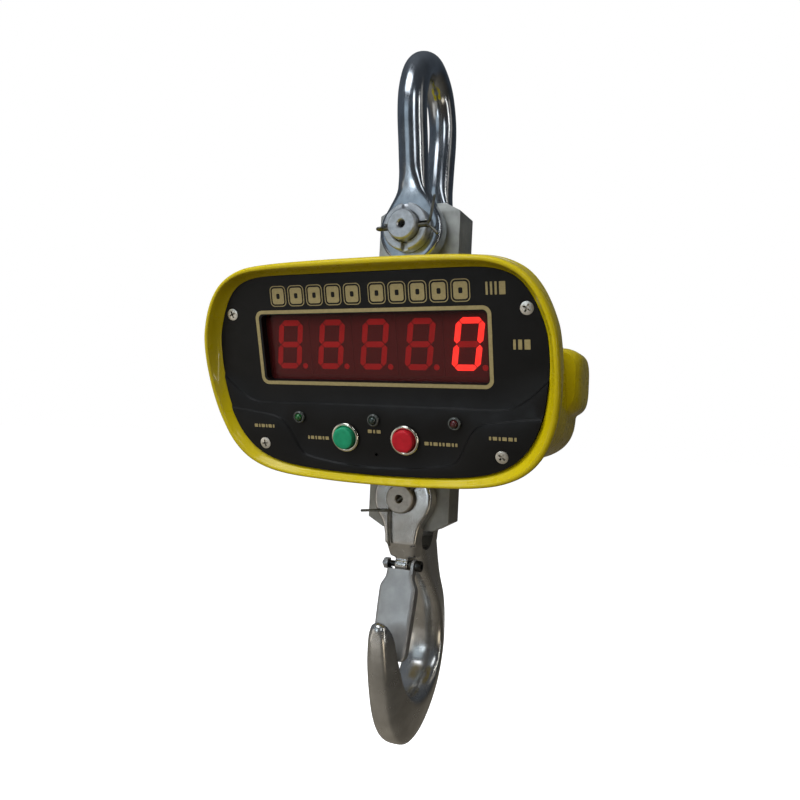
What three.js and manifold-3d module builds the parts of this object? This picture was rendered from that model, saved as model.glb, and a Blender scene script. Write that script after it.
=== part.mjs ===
// Hanging crane scale: bow shackle, load cell, tilted front case with a five digit
// display, rear case with the battery, and a clevis hook with a sprung latch.
// Units are millimetres, +Z is up, the display faces -Y.
// Every sub-part is laid out round the middle of the load cell. The finished group is
// then lowered so that the origin is the bearing point inside the shackle's crown.

import * as THREE from 'three';
import { mergeVertices } from 'three/addons/utils/BufferGeometryUtils.js';
import Module from 'manifold-3d';

const wasm = await Module();
wasm.setup();

// ---- driving dimensions -------------------------------------------------------------

const GAP = 0.35;                  // running gap between touching pieces
const BIG = 400;                   // longer than anything a cutter goes through

const CELL = {
  halfWidth: 29, top: 110, bottom: -108, halfThick: 13, tongueHalfThick: 9.5, tongueTop: -58,
  cutX: 11, cutZ: 6,
};
const TOP_PIN = { z: 89, r: 9.8, front: -42.8, back: 28.7, headR: 15.5, headThick: 7 };
const LOW_PIN = { z: -87, r: 9.4, front: -25.5, back: 21, headR: 13, headThick: 5.5 };
const BORE_CLEARANCE = 0.45;

const SHACKLE = {
  rodR: 9.87, eyeR: 21.8, eyeInner: 15.4, eyeOuter: 28.4, shoulderZ: 117, apexZ: 209.4,
};
// Half of the bow's centre line from the leg up to the apex, as [y, z].
const BOW_LINE = [
  [-19.6, 106], [-20.6, 113], [-23.2, 130], [-25.9, 149], [-28.4, 168], [-26.4, 186.5],
  [-15.8, 203.2], [0, SHACKLE.apexZ],
];
// The shackle hangs a little off the load cell's middle and swung a little to one side.
const SHACKLE_SHIFT = -0.5;
const SHACKLE_SWING = THREE.MathUtils.degToRad(-1.5);
const SPOT_FACE_R = 17;            // flat seats for the nut and the pin's head
const NUT = { r: 15.5, thick: 8, slot: 4.6, slotDepth: 3.8 };

const TILT = THREE.MathUtils.degToRad(16.1);   // the display leans to face downwards
const PANEL_CENTRE = new THREE.Vector3(0, -79.4, 6);
// Right half of the front rim and of the panel's edge in the panel's plane, as
// [rim x, rim w, panel x, panel w] from the bottom round to the top.
const RIM_LINE = [
  [0, -84.4, 0, -78.9], [22, -84.2, 21, -78.6], [40, -83.4, 37, -77.9],
  [57, -82, 52.5, -76.7], [70, -80, 64, -75], [79, -77.6, 72.5, -72.9],
  [88, -73.6, 80.5, -69.6], [95.2, -68.3, 87.2, -65.2], [101.5, -61.5, 93.2, -58.8],
  [106.3, -53.5, 98, -51.2], [110.5, -42, 102.4, -40], [112.8, -28, 105, -27],
  [113.4, -12, 106.5, -12], [113, 5, 106.2, 4], [111.4, 15, 104.4, 13.8],
  [108.2, 24.8, 101.1, 23.1], [103.5, 33.3, 96.8, 31.2], [97, 40.6, 90.3, 37.9],
  [88, 45.8, 81.2, 41.6], [77.5, 48.9, 71, 43.1], [64, 50.3, 60, 43.5],
  [50, 51, 47, 43.6], [30, 51.4, 29, 43.6], [0, 51.6, 0, 43.6],
];
const RIM_PROUD_TOP = 9.5;         // how far the rim stands in front of the panel
const RIM_PROUD_BOTTOM = 5.5;
const LIP = 0.46;                  // share of the way from the rim's edge to the panel's
const PANEL_EDGE = 1.05;           // the panel's own edge, with its running gap
const WALL = 3;
const STEP = 1.2;                  // height of each moulded step on the panel
const PANEL_THICK = 3;

const DIGIT = { count: 5, pitch: 29.36, height: 37, depth: 10, front: 7.3 };
const WINDOW = { halfWidth: 73.2, top: 19.6, bottom: -21.4, corner: 3 };
const LAMP_X = 51.5;
const LAMP_W = -44.3;
const BUTTON = { x: 19.8, w: -55.7, capR: 6.7, boreR: 7.1, ringR: 9.2, proud: 6, travel: 2.5 };
const SCREWS = [[-94.75, 20.4], [94.75, 20.4], [-78.75, -62.5], [78.75, -62.5]];

const PARTING_Y = 0;
const REAR_Y = 46;
const BULGE = { x: 108, top: 16, bottom: -27, front: -5, round: 8 };

const LATCH_PIVOT = { y: -13.5, z: -131 };
const LATCH = { wide: 12.9, tip: 12, narrow: 9.4, length: 60, thick: 1.8, front: -5.2 };

// ---- materials ------------------------------------------------------------------------

function paint(color, roughness, metalness) {
  return new THREE.MeshStandardMaterial({ color, roughness, metalness });
}

const YELLOW = paint(0xa99a08, 0.32, 0.0);
const CHROME = paint(0xb4b8bd, 0.16, 1.0);
const ZINC = paint(0xb9bcc0, 0.32, 1.0);
const STEEL = paint(0x8e8c88, 0.42, 1.0);
const BLACK = paint(0x1d1c1b, 0.5, 0.0);
const RUBBER = paint(0x161616, 0.85, 0.0);
const BOARD = paint(0x1f5a32, 0.5, 0.0);
const SMOKED_RED = paint(0x40181a, 0.1, 0.0);
const DIGIT_GREY = paint(0x3a2022, 0.5, 0.0);
const CAP_GREEN = paint(0x1f9a68, 0.4, 0.0);
const CAP_RED = paint(0xb8181f, 0.4, 0.0);
const CLEAR = paint(0x30403a, 0.15, 0.0);
const BATTERY = paint(0x2b3a66, 0.5, 0.0);
const SCREW_STEEL = paint(0xd8d2c0, 0.3, 1.0);

// ---- solids ---------------------------------------------------------------------------

function toManifold(geometry) {
  const bare = geometry.clone();
  bare.deleteAttribute('normal');
  bare.deleteAttribute('uv');
  const merged = mergeVertices(bare, 1e-4);
  const vertProperties = new Float32Array(merged.attributes.position.array);
  const triVerts = new Uint32Array(merged.index.array);
  return new wasm.Manifold(new wasm.Mesh({ numProp: 3, vertProperties, triVerts }));
}

function toGeometry(solid) {
  const mesh = solid.getMesh();
  const geometry = new THREE.BufferGeometry();
  geometry.setAttribute('position', new THREE.BufferAttribute(mesh.vertProperties, 3));
  geometry.setIndex(new THREE.BufferAttribute(mesh.triVerts, 1));
  geometry.computeVertexNormals();
  return geometry;
}

// base plus every solid in adds, minus every solid in cuts
function carve(base, adds, cuts) {
  let solid = toManifold(base);
  for (const piece of adds) {
    solid = solid.add(toManifold(piece));
  }
  for (const piece of cuts) {
    solid = solid.subtract(toManifold(piece));
  }
  return toGeometry(solid);
}

function box(x0, x1, y0, y1, z0, z1) {
  const geometry = new THREE.BoxGeometry(x1 - x0, y1 - y0, z1 - z0);
  return geometry.translate((x0 + x1) / 2, (y0 + y1) / 2, (z0 + z1) / 2);
}

// Cylinder along Y between y0 and y1, centred on x, z.
function rodY(r, y0, y1, x, z, sides = 32) {
  const geometry = new THREE.CylinderGeometry(r, r, y1 - y0, sides);
  return geometry.translate(x, (y0 + y1) / 2, z);
}

// Cylinder along X between x0 and x1, centred on y, z.
function rodX(r, x0, x1, y, z, sides = 20) {
  const geometry = new THREE.CylinderGeometry(r, r, x1 - x0, sides);
  geometry.rotateZ(Math.PI / 2);
  return geometry.translate((x0 + x1) / 2, y, z);
}

// Cylinder along local z, for the panel's own frame.
function rodZ(r, z0, z1, x, y, sides = 24) {
  const geometry = new THREE.CylinderGeometry(r, r, z1 - z0, sides);
  geometry.rotateX(Math.PI / 2);
  return geometry.translate(x, y, (z0 + z1) / 2);
}

// A flat shape drawn in x and z, standing between y0 and y1.
function plateXZ(shape, y0, y1, curveSegments = 10) {
  const options = { depth: y1 - y0, bevelEnabled: false, curveSegments };
  const geometry = new THREE.ExtrudeGeometry(shape, options);
  geometry.rotateX(Math.PI / 2);
  return geometry.translate(0, y1, 0);
}

// A flat shape in the panel's frame, standing between local z0 and z1.
function platePanel(shape, z0, z1, curveSegments = 10) {
  const options = { depth: z1 - z0, bevelEnabled: false, curveSegments };
  return new THREE.ExtrudeGeometry(shape, options).translate(0, 0, z0);
}

function roundRect(x0, x1, y0, y1, r) {
  const shape = new THREE.Shape();
  shape.moveTo(x0 + r, y0);
  shape.lineTo(x1 - r, y0);
  shape.absarc(x1 - r, y0 + r, r, -Math.PI / 2, 0);
  shape.lineTo(x1, y1 - r);
  shape.absarc(x1 - r, y1 - r, r, 0, Math.PI / 2);
  shape.lineTo(x0 + r, y1);
  shape.absarc(x0 + r, y1 - r, r, Math.PI / 2, Math.PI);
  shape.lineTo(x0, y0 + r);
  shape.absarc(x0 + r, y0 + r, r, Math.PI, Math.PI * 1.5);
  return shape;
}

// A solid of revolution about the local z axis from [radius, z] pairs.
function turned(profile, sides = 20) {
  const points = profile.map(([r, z]) => new THREE.Vector2(r, z));
  return new THREE.LatheGeometry(points, sides).rotateX(Math.PI / 2);
}

// Skin over a list of closed loops with the same number of points. ends: 'caps' closes the
// first and last loop, 'ring' joins the last loop back to the first.
function skin(loops, ends) {
  const count = loops[0].length;
  const points = loops.flat();
  const index = [];
  const last = ends === 'ring' ? loops.length : loops.length - 1;
  for (let i = 0; i < last; i += 1) {
    const a = i * count;
    const b = ((i + 1) % loops.length) * count;
    for (let j = 0; j < count; j += 1) {
      const k = (j + 1) % count;
      index.push(a + j, a + k, b + k, a + j, b + k, b + j);
    }
  }
  if (ends === 'caps') {
    for (const [start, flip] of [[0, true], [(loops.length - 1) * count, false]]) {
      const centre = new THREE.Vector3();
      for (let j = 0; j < count; j += 1) {
        centre.addScaledVector(points[start + j], 1 / count);
      }
      points.push(centre);
      for (let j = 0; j < count; j += 1) {
        const a = start + j;
        const b = start + ((j + 1) % count);
        index.push(points.length - 1, flip ? b : a, flip ? a : b);
      }
    }
  }
  const geometry = new THREE.BufferGeometry().setFromPoints(points);
  geometry.setIndex(index);
  geometry.computeVertexNormals();
  return outward(geometry);
}

// Turns a closed skin's faces outwards by the sign of the volume it encloses.
function outward(geometry) {
  const index = geometry.index.array;
  const p = geometry.attributes.position;
  const [a, b, c] = [new THREE.Vector3(), new THREE.Vector3(), new THREE.Vector3()];
  let volume = 0;
  for (let i = 0; i < index.length; i += 3) {
    a.fromBufferAttribute(p, index[i]);
    b.fromBufferAttribute(p, index[i + 1]);
    c.fromBufferAttribute(p, index[i + 2]);
    volume += a.dot(b.cross(c));
  }
  if (volume < 0) {
    for (let i = 0; i < index.length; i += 3) {
      const keep = index[i + 1];
      index[i + 1] = index[i + 2];
      index[i + 2] = keep;
    }
    geometry.computeVertexNormals();
  }
  return geometry;
}

// A round wire through points, open at both ends.
function wire(points, r, steps, sides = 8) {
  const section = new THREE.Shape();
  section.absarc(0, 0, r, 0, Math.PI * 2);
  const curve = new THREE.CatmullRomCurve3(points.map((p) => new THREE.Vector3(...p)));
  const options = { steps, extrudePath: curve, bevelEnabled: false, curveSegments: sides / 2 };
  return new THREE.ExtrudeGeometry(section, options);
}

// ---- the assembly ---------------------------------------------------------------------

const scale = new THREE.Group();
scale.name = 'crane_scale';
const panelFrame = new THREE.Group();
panelFrame.position.copy(PANEL_CENTRE);
panelFrame.rotation.x = Math.PI / 2 + TILT;
scale.add(panelFrame);

function add(name, geometry, material, parent = scale) {
  const mesh = new THREE.Mesh(geometry, material);
  mesh.name = name;
  parent.add(mesh);
  return mesh;
}

// ---- case outline ---------------------------------------------------------------------

// The rim's points all the way round, right side first from the bottom.
function rimPoints(share) {
  const right = RIM_LINE.map(([x0, w0, x1, w1]) => new THREE.Vector2(
    x0 + (x1 - x0) * share, w0 + (w1 - w0) * share));
  const left = right.slice(1, -1).reverse().map((p) => new THREE.Vector2(-p.x, p.y));
  return [...right, ...left];
}

// Closed outline of a case section, one point for each of the rim's: a superellipse with
// its own power above and below the widest level, tapered towards the bottom.
function outline(s) {
  const [up, down] = [RIM_LINE[RIM_LINE.length - 1][1], -RIM_LINE[0][1]];
  const wide = RIM_LINE[12][0];
  return rimPoints(0).map((p) => {
    const x = p.x / wide;
    const w = p.y / (p.y > 0 ? up : down);
    const power = w > 0 ? s.nUp : s.nDown;
    const reach = (Math.abs(x) ** power + Math.abs(w) ** power) ** (-1 / power);
    const level = w * reach;
    const narrow = level < 0 ? 1 + s.taper * level : 1;
    const side = s.a * x * reach * narrow;
    return new THREE.Vector2(side, s.mid + level * (level > 0 ? s.up : s.down));
  });
}

function inset(s, by) {
  return { ...s, a: s.a - by, up: s.up - by, down: s.down - by };
}

// The outline in a plane through (0, y, z) that leans by tilt.
function loopAt(s, y, z, tilt) {
  return outline(s).map((p) => new THREE.Vector3(
    p.x, y - p.y * Math.sin(tilt), z + p.y * Math.cos(tilt)));
}

function panelPoint(x, w, depth) {
  return new THREE.Vector3(
    x,
    PANEL_CENTRE.y - w * Math.sin(TILT) + depth * Math.cos(TILT),
    PANEL_CENTRE.z + w * Math.cos(TILT) + depth * Math.sin(TILT));
}

// A loop between the rim's edge and the panel's, at a depth behind the panel's face.
function rimLoop(share, depth) {
  return rimPoints(share).map((p) => panelPoint(p.x, p.y, depth));
}

// The same, measured back from the rim's front, which stands further out at the top.
function frontLoop(share, back) {
  return rimPoints(share).map((p) => {
    const rise = THREE.MathUtils.smoothstep(p.y, -52, 4);
    const proud = THREE.MathUtils.lerp(RIM_PROUD_BOTTOM, RIM_PROUD_TOP, rise);
    return panelPoint(p.x, p.y, back - proud);
  });
}

const NECK = { a: 101, up: 45, down: 73, mid: 2, nUp: 3, nDown: 3.8, taper: 0.03 };
const WAIST = { a: 98.5, up: 46, down: 65, mid: 0, nUp: 2.6, nDown: 4, taper: -0.05 };
const BODY = { a: 99, up: 50, down: 57.5, mid: -4, nUp: 2.2, nDown: 3.8, taper: -0.06 };
const NECK_PLACE = [-47, 2, TILT * 0.6];
const WAIST_PLACE = [-22, 0, TILT * 0.25];

// ---- front case -----------------------------------------------------------------------

function frontCase() {
  const parting = PARTING_Y - GAP / 2;
  const outer = [
    frontLoop(0.2, 0),
    frontLoop(0.06, 0.7),
    frontLoop(0, 2.2),
    frontLoop(0, 4.6),
    rimLoop(0.08, 2),
    rimLoop(0.4, 12),
    loopAt(NECK, ...NECK_PLACE),
    loopAt(WAIST, ...WAIST_PLACE),
    loopAt(BODY, parting, 0, 0),
  ];
  const inner = [
    loopAt(inset(BODY, WALL), parting, 0, 0),
    loopAt(inset(WAIST, WALL), ...WAIST_PLACE),
    loopAt(inset(NECK, WALL), ...NECK_PLACE),
    rimLoop(1.5, 20),
    rimLoop(1.6, 4.6),
    rimLoop(1, 4.6),
    rimLoop(1, 0),
    frontLoop(LIP, 0.5),
    frontLoop(LIP - 0.1, 0),
  ];
  const shell = skin([...outer, ...inner], 'ring');
  const lugs = SCREWS.map(([x, w]) => panelLug(x, w));
  const screwHoles = SCREWS.map(([x, w]) => toWorld(rodZ(1.7, -16, 0, x, w, 12)));
  const ears = [mountEar(1), mountEar(-1)];
  return carve(shell, [...lugs, ...ears], [...screwHoles, ...cellSlots(), ...boltHoles()]);
}

function toWorld(geometry) {
  panelFrame.updateMatrix();
  return geometry.clone().applyMatrix4(panelFrame.matrix);
}

// Boss that a panel screw goes into, joined to the side wall.
function panelLug(x, w) {
  const side = Math.sign(x);
  const reach = w > 0 ? 103 : 88;
  const x0 = Math.min(side * reach, x - side * 5.5);
  const x1 = Math.max(side * reach, x - side * 5.5);
  return toWorld(box(x0, x1, w - 5.5, w + 5.5, -14, -4.7));
}

// Ear inside the case that is bolted to the load cell: up is 1 at the top, -1 below.
const EAR_Z = 30;
function mountEar(up) {
  const reach = up > 0 ? 48 : 62.5;
  const [z0, z1] = up > 0 ? [EAR_Z - 7, reach] : [-reach, -EAR_Z + 7];
  return box(-11, 11, -24, -CELL.halfThick - 2.5, z0, z1);
}

function boltHoles() {
  return [1, -1].map((up) => rodY(3.4, -40, 40, 0, up * EAR_Z, 16));
}

// Slots in the case where the load cell comes out.
function cellSlots() {
  const x = CELL.halfWidth + 2.6;
  const top = box(-x, x, -CELL.halfThick - 2.4, CELL.halfThick + 2.4, 20, BIG);
  const y = CELL.tongueHalfThick + 2.4;
  const bottom = box(-x, x, -y, y, -BIG, -50);
  return [top, bottom];
}

// ---- rear case ------------------------------------------------------------------------

const CASE_SCREWS = [[-70, 27], [70, 27], [-76, -46], [76, -46]];
const COVER = {
  halfWidth: 67, screwX: 60, top: 19, bottom: -31, thick: 3.2, round: 8, sinkR: 5.2, sinkFloor: 1.2,
};
const SOCKET = { y: 22, z: -6, r: 6 };

function rearCase() {
  const parting = PARTING_Y + GAP / 2;
  const outer = [
    loopAt(BODY, parting, 0, 0),
    loopAt(BODY, 30, 0, 0),
    loopAt(inset(BODY, 1.5), 39, 0, 0),
    loopAt(inset(BODY, 4.5), 44.2, 0, 0),
    loopAt(inset(BODY, 9), REAR_Y, 0, 0),
  ];
  const inner = [
    loopAt(inset(BODY, 10), REAR_Y - WALL, 0, 0),
    loopAt(inset(BODY, 6), 40, 0, 0),
    loopAt(inset(BODY, WALL), 30, 0, 0),
    loopAt(inset(BODY, WALL), parting, 0, 0),
  ];
  const shell = skin([...inner, ...outer], 'caps');
  const bulges = [bulge(0), bulge(Math.PI)];
  const hollows = [bulgeHollow(1), bulgeHollow(-1)];
  const screwHoles = [
    ...CASE_SCREWS.map(([x, z]) => rodY(2.6, 30, 60, x, z, 12)),
    ...[-1, 1].map((side) => rodY(2.4, 38, 60, side * COVER.screwX, COVER.top - 12, 12)),
  ];
  const bay = box(-56, 56, 20, 60, -26, 14);
  const socketHole = rodX(SOCKET.r + GAP, -120, -90, SOCKET.y, SOCKET.z, 20);
  return carve(shell, bulges, [...hollows, ...screwHoles, bay, socketHole, ...cellSlots()]);
}

// Side bulge over the end of the battery bay; turn puts it on the right or the left.
function bulge(turn) {
  const r = BULGE.round;
  const depth = 20;
  const shape = roundRect(
    BULGE.front + r, REAR_Y - r, BULGE.bottom + r, BULGE.top - r, 4);
  const options = {
    depth, bevelEnabled: true, bevelSize: r, bevelThickness: r,
    bevelSegments: 3, curveSegments: 3,
  };
  const geometry = new THREE.ExtrudeGeometry(shape, options);
  geometry.applyMatrix4(new THREE.Matrix4().makeBasis(
    new THREE.Vector3(0, 1, 0), new THREE.Vector3(0, 0, 1), new THREE.Vector3(1, 0, 0)));
  geometry.translate(BULGE.x - depth - r, 0, 0);
  if (turn > 0) {
    geometry.rotateZ(turn);
    geometry.translate(0, REAR_Y + BULGE.front, 0);
  }
  return carve(geometry, [], [box(-BIG, BIG, -BIG, PARTING_Y + GAP / 2, -BIG, BIG)]);
}

function bulgeHollow(side) {
  const x0 = side > 0 ? 80 : -BULGE.x + WALL;
  const x1 = side > 0 ? BULGE.x - WALL : -80;
  return box(x0, x1, 4, REAR_Y - WALL - 1, BULGE.bottom + WALL + 1, BULGE.top - WALL - 1);
}

// ---- case trim ------------------------------------------------------------------------

function batteryCover() {
  const shape = roundRect(-COVER.halfWidth, COVER.halfWidth, COVER.bottom, COVER.top, COVER.round);
  const y0 = REAR_Y + GAP;
  const holes = [-1, 1].flatMap((side) => {
    const [x, z] = [side * COVER.screwX, COVER.top - 12];
    return [rodY(2.6, 30, 70, x, z, 14), rodY(COVER.sinkR, y0 + COVER.sinkFloor, 70, x, z, 24)];
  });
  return carve(plateXZ(shape, y0, y0 + COVER.thick, 5), [], holes);
}

// Screw pushed in along -Y from the back: a domed head and a plain shank.
function rearScrew(headR, head, shankR, length) {
  return turned([
    [0, -length], [shankR, -length], [shankR, 0], [headR, 0],
    [headR, head * 0.5], [headR * 0.7, head], [0, head],
  ], 12).rotateX(-Math.PI / 2);
}

function addRearScrews() {
  CASE_SCREWS.forEach(([x, z], i) => {
    const screw = add(`case_screw_${i + 1}`, rearScrew(4, 2.2, 2, 12), SCREW_STEEL);
    screw.position.set(x, REAR_Y + GAP, z);
  });
  [-1, 1].forEach((side) => {
    const name = side < 0 ? 'cover_screw_left' : 'cover_screw_right';
    const screw = add(name, rearScrew(4.5, 1.5, 2, 7), SCREW_STEEL);
    screw.position.set(side * COVER.screwX, REAR_Y + GAP * 2 + COVER.sinkFloor, COVER.top - 12);
  });
}

function slotSeal(halfThick, z0, z1) {
  const out = 2.2;
  const x = CELL.halfWidth;
  const ring = box(-x - out, x + out, -halfThick - out + 0.1, halfThick + out - 0.1, z0, z1);
  const hole = box(-x - GAP, x + GAP, -halfThick - GAP, halfThick + GAP, -BIG, BIG);
  return carve(ring, [], [hole]);
}

// ---- load cell ------------------------------------------------------------------------

function loadCell() {
  const { halfWidth: w, top, bottom, cutX, cutZ } = CELL;
  const shape = new THREE.Shape();
  shape.moveTo(-w + cutX, bottom);
  shape.lineTo(w - cutX, bottom);
  shape.lineTo(w, bottom + cutZ);
  shape.lineTo(w, top - cutZ);
  shape.lineTo(w - cutX, top);
  shape.lineTo(-w + cutX, top);
  shape.lineTo(-w, top - cutZ);
  shape.lineTo(-w, bottom + cutZ);
  const bar = plateXZ(shape, -CELL.halfThick, CELL.halfThick);
  const t = CELL.tongueHalfThick;
  const cuts = [
    rodY(TOP_PIN.r + BORE_CLEARANCE, -BIG, BIG, 0, TOP_PIN.z, 36),
    rodY(LOW_PIN.r + BORE_CLEARANCE, -BIG, BIG, 0, LOW_PIN.z, 36),
    box(-BIG, BIG, -BIG, -t, -BIG, CELL.tongueTop),
    box(-BIG, BIG, t, BIG, -BIG, CELL.tongueTop),
    rodY(GAUGE_R, -BIG, -CELL.halfThick + 5, 0, 0, 32),
    rodY(GAUGE_R, CELL.halfThick - 5, BIG, 0, 0, 32),
    ...[1, -1].map((up) => rodY(3.4, -BIG, BIG, 0, up * EAR_Z, 16)),
  ];
  return carve(bar, [], cuts);
}

const GAUGE_R = 17;
function gaugeCover() {
  return turned([[0, 0], [GAUGE_R + 3, 0], [GAUGE_R + 3, 1.2], [GAUGE_R + 2.6, 1.6], [0, 1.6]], 32);
}

// Bolt along Y that ties the case's ear to the load cell, head at the back.
function caseBolt() {
  const thread = rodY(3, -27, CELL.halfThick + GAP + 2, 0, 0, 16);
  const head = rodY(5.5, CELL.halfThick + GAP, CELL.halfThick + GAP + 4, 0, 0, 6);
  return carve(thread, [head], []);
}

// ---- shackle --------------------------------------------------------------------------

function bowCurve() {
  const right = BOW_LINE.slice(0, -1).reverse().map(([y, z]) => [-y, z]);
  const path = [...BOW_LINE, ...right].map(([y, z]) => new THREE.Vector3(0, y, z));
  return new THREE.CatmullRomCurve3(path);
}

function bowRod() {
  const curve = bowCurve();
  const steps = 30;
  const sides = 16;
  const loops = [];
  for (let i = 0; i <= steps; i += 1) {
    const u = i / steps;
    const p = curve.getPointAt(u);
    const t = curve.getTangentAt(u);
    const out = new THREE.Vector3(0, t.z, -t.y);
    const loop = [];
    for (let j = 0; j < sides; j += 1) {
      const angle = (j / sides) * Math.PI * 2;
      const q = p.clone().addScaledVector(out, Math.cos(angle) * SHACKLE.rodR);
      q.x += Math.sin(angle) * SHACKLE.rodR;
      loop.push(q);
    }
    loops.push(loop);
  }
  return skin(loops, 'caps');
}

// Flat eye and the shoulder that runs up into the leg.
function shackleEye(side) {
  const shape = new THREE.Shape();
  const r = SHACKLE.eyeR;
  const start = THREE.MathUtils.degToRad(36);
  const neck = SHACKLE.rodR - 1.4;
  const topZ = SHACKLE.shoulderZ + 2;
  shape.moveTo(-neck, topZ);
  shape.lineTo(-r * Math.cos(start), TOP_PIN.z + r * Math.sin(start));
  shape.absarc(0, TOP_PIN.z, r, Math.PI - start, Math.PI * 2 + start);
  shape.lineTo(neck, topZ);
  const [y0, y1] = [SHACKLE.eyeInner, SHACKLE.eyeOuter];
  return side > 0 ? plateXZ(shape, y0, y1, 16) : plateXZ(shape, -y1, -y0, 16);
}

function shackleBow() {
  const hole = rodY(TOP_PIN.r + BORE_CLEARANCE, -BIG, BIG, 0, TOP_PIN.z, 36);
  const legEnds = box(-BIG, BIG, -SHACKLE.eyeInner, SHACKLE.eyeInner, 0, 125);
  const seats = [1, -1].map((side) => {
    const [near, far] = [side * SHACKLE.eyeOuter, side * BIG];
    return rodY(SPOT_FACE_R, Math.min(near, far), Math.max(near, far), 0, TOP_PIN.z, 32);
  });
  return carve(bowRod(), [shackleEye(1), shackleEye(-1)], [hole, legEnds, ...seats]);
}

const TOP_COTTER = { y: -35, r: 1.6 };
const LOW_COTTER = { y: -22.8, r: 1.3, angle: THREE.MathUtils.degToRad(225) };

function shacklePin() {
  const z = TOP_PIN.z;
  const shaft = rodY(TOP_PIN.r, TOP_PIN.front, TOP_PIN.back + 2, 0, z, 36);
  const head = rodY(TOP_PIN.headR, TOP_PIN.back, TOP_PIN.back + TOP_PIN.headThick, 0, z, 32);
  const centre = rodY(2.6, TOP_PIN.front - 1, TOP_PIN.front + 4, 0, z, 14);
  const cross = rodX(TOP_COTTER.r + GAP, -30, 30, TOP_COTTER.y, z, 12);
  return carve(shaft, [head], [centre, cross]);
}

function castleNut() {
  const y1 = -SHACKLE.eyeOuter - GAP;
  const y0 = y1 - NUT.thick;
  const bore = rodY(TOP_PIN.r + GAP, -BIG, BIG, 0, TOP_PIN.z, 32);
  const slots = [0, 90].map((degrees) => {
    const slot = box(-BIG, BIG, y0 - 1, y0 + NUT.slotDepth, -NUT.slot / 2, NUT.slot / 2);
    slot.rotateY(THREE.MathUtils.degToRad(degrees));
    return slot.translate(0, 0, TOP_PIN.z);
  });
  return carve(rodY(NUT.r, y0, y1, 0, TOP_PIN.z, 40), [], [bore, ...slots]);
}

// Split pin: an eye at one end, a shank, and two legs bent apart.
function shackleCotter() {
  const { y, r } = TOP_COTTER;
  const z = TOP_PIN.z;
  const shank = rodX(r, -17, 17, y, z, 10);
  const eye = new THREE.TorusGeometry(2.2, 1.1, 8, 14);
  eye.rotateX(Math.PI / 2);
  eye.translate(-19, y, z);
  const up = wire([
    [15.5, y, z + 0.5], [17.5, y - 1, z + 4], [19.2, y - 2, z + 11], [20.8, y - 2.5, z + 18],
  ], 0.95, 6);
  const down = wire([
    [15.5, y, z - 0.5], [18, y - 1.2, z - 2], [20.5, y - 2, z - 4.2], [23.4, y - 2.4, z - 7],
  ], 0.95, 5);
  return carve(shank, [eye, up, down], []);
}

// ---- hook -----------------------------------------------------------------------------

const HOOK_INNER = [
  [-15.5, -109], [-12.5, -118], [-6, -128], [0, -139], [11, -152.5], [21, -167.5],
  [26, -186], [21.5, -204], [6, -215], [-12, -214.2], [-27, -202.5], [-35.6, -186],
  [-41, -171.2], [-45.8, -163.4],
];
const HOOK_OUTER = [
  [20.5, -108], [23.5, -119], [28, -131], [36, -144.5], [46.5, -161], [51.5, -181],
  [49.5, -205], [37, -229], [15, -247], [-11, -249.5], [-33.2, -232.5], [-44.6, -204],
  [-50.2, -177], [-50.4, -165.4],
];
const HOOK_INNER_HALF = [11, 11, 11.3, 12, 13.4, 14.3, 14.6, 14.5, 14, 13.6, 12.8, 11, 7.8, 3.4];
const HOOK_OUTER_HALF = [11, 11, 11.2, 11, 10.5, 10, 9.6, 9.4, 9, 8.5, 7.8, 6.8, 5.6, 3];

function curveYZ(points) {
  return new THREE.CatmullRomCurve3(points.map(([y, z]) => new THREE.Vector3(0, y, z)));
}

function between(values, u) {
  const place = u * (values.length - 1);
  const i = Math.min(Math.floor(place), values.length - 2);
  return THREE.MathUtils.lerp(values[i], values[i + 1], place - i);
}

// Section of the hook: full at the inside, narrower at the outside, both rounded.
// [share of the way out, share of inner half width, share of outer half width]
const HOOK_SECTION = [
  [0, 0.3, 0], [0.06, 0.74, 0], [0.17, 0.97, 0], [0.34, 0.82, 0.18], [0.66, 0.3, 0.7],
  [0.86, 0, 0.92], [0.97, 0, 0.58],
];

function hookSweep() {
  const inner = curveYZ(HOOK_INNER);
  const outer = curveYZ(HOOK_OUTER);
  const steps = 28;
  const loops = [];
  for (let i = 0; i <= steps; i += 1) {
    const u = i / steps;
    const a = inner.getPoint(u);
    const b = outer.getPoint(u);
    const wi = between(HOOK_INNER_HALF, u);
    const wo = between(HOOK_OUTER_HALF, u);
    const right = HOOK_SECTION.map(([share, si, so]) => {
      const p = a.clone().lerp(b, share);
      p.x = wi * si + wo * so;
      return p;
    });
    const left = right.slice().reverse().map((p) => new THREE.Vector3(-p.x, p.y, p.z));
    loops.push([...right, ...left]);
  }
  return skin(loops, 'caps');
}

const FORK = { inner: 10.1, outer: 20.4, eyeR: 20.3, slotBottom: -122 };

function hookEars() {
  const shape = new THREE.Shape();
  const start = THREE.MathUtils.degToRad(-38);
  const { eyeR: r } = FORK;
  shape.moveTo(11, -117);
  shape.bezierCurveTo(
    11, -108, 13, -106, r * Math.cos(start), LOW_PIN.z + r * Math.sin(start));
  shape.absarc(0, LOW_PIN.z, r, start, Math.PI - start);
  shape.bezierCurveTo(-13, -106, -11, -108, -11, -117);
  return plateXZ(shape, -FORK.outer, FORK.outer, 12);
}

// Shoulder that carries the fork's width down into the shank.
function hookShoulder() {
  const level = (halfX, y0, y1, z) => {
    const points = roundRect(-halfX, halfX, y0, y1, 4).getPoints(3);
    return points.slice(0, -1).map((p) => new THREE.Vector3(p.x, p.y, z));
  };
  return skin([
    level(11.4, -FORK.outer, FORK.outer, -112), level(11, -19.6, 21, -117.5),
    level(9.2, -16.8, 25.5, -126),
  ], 'caps');
}

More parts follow.
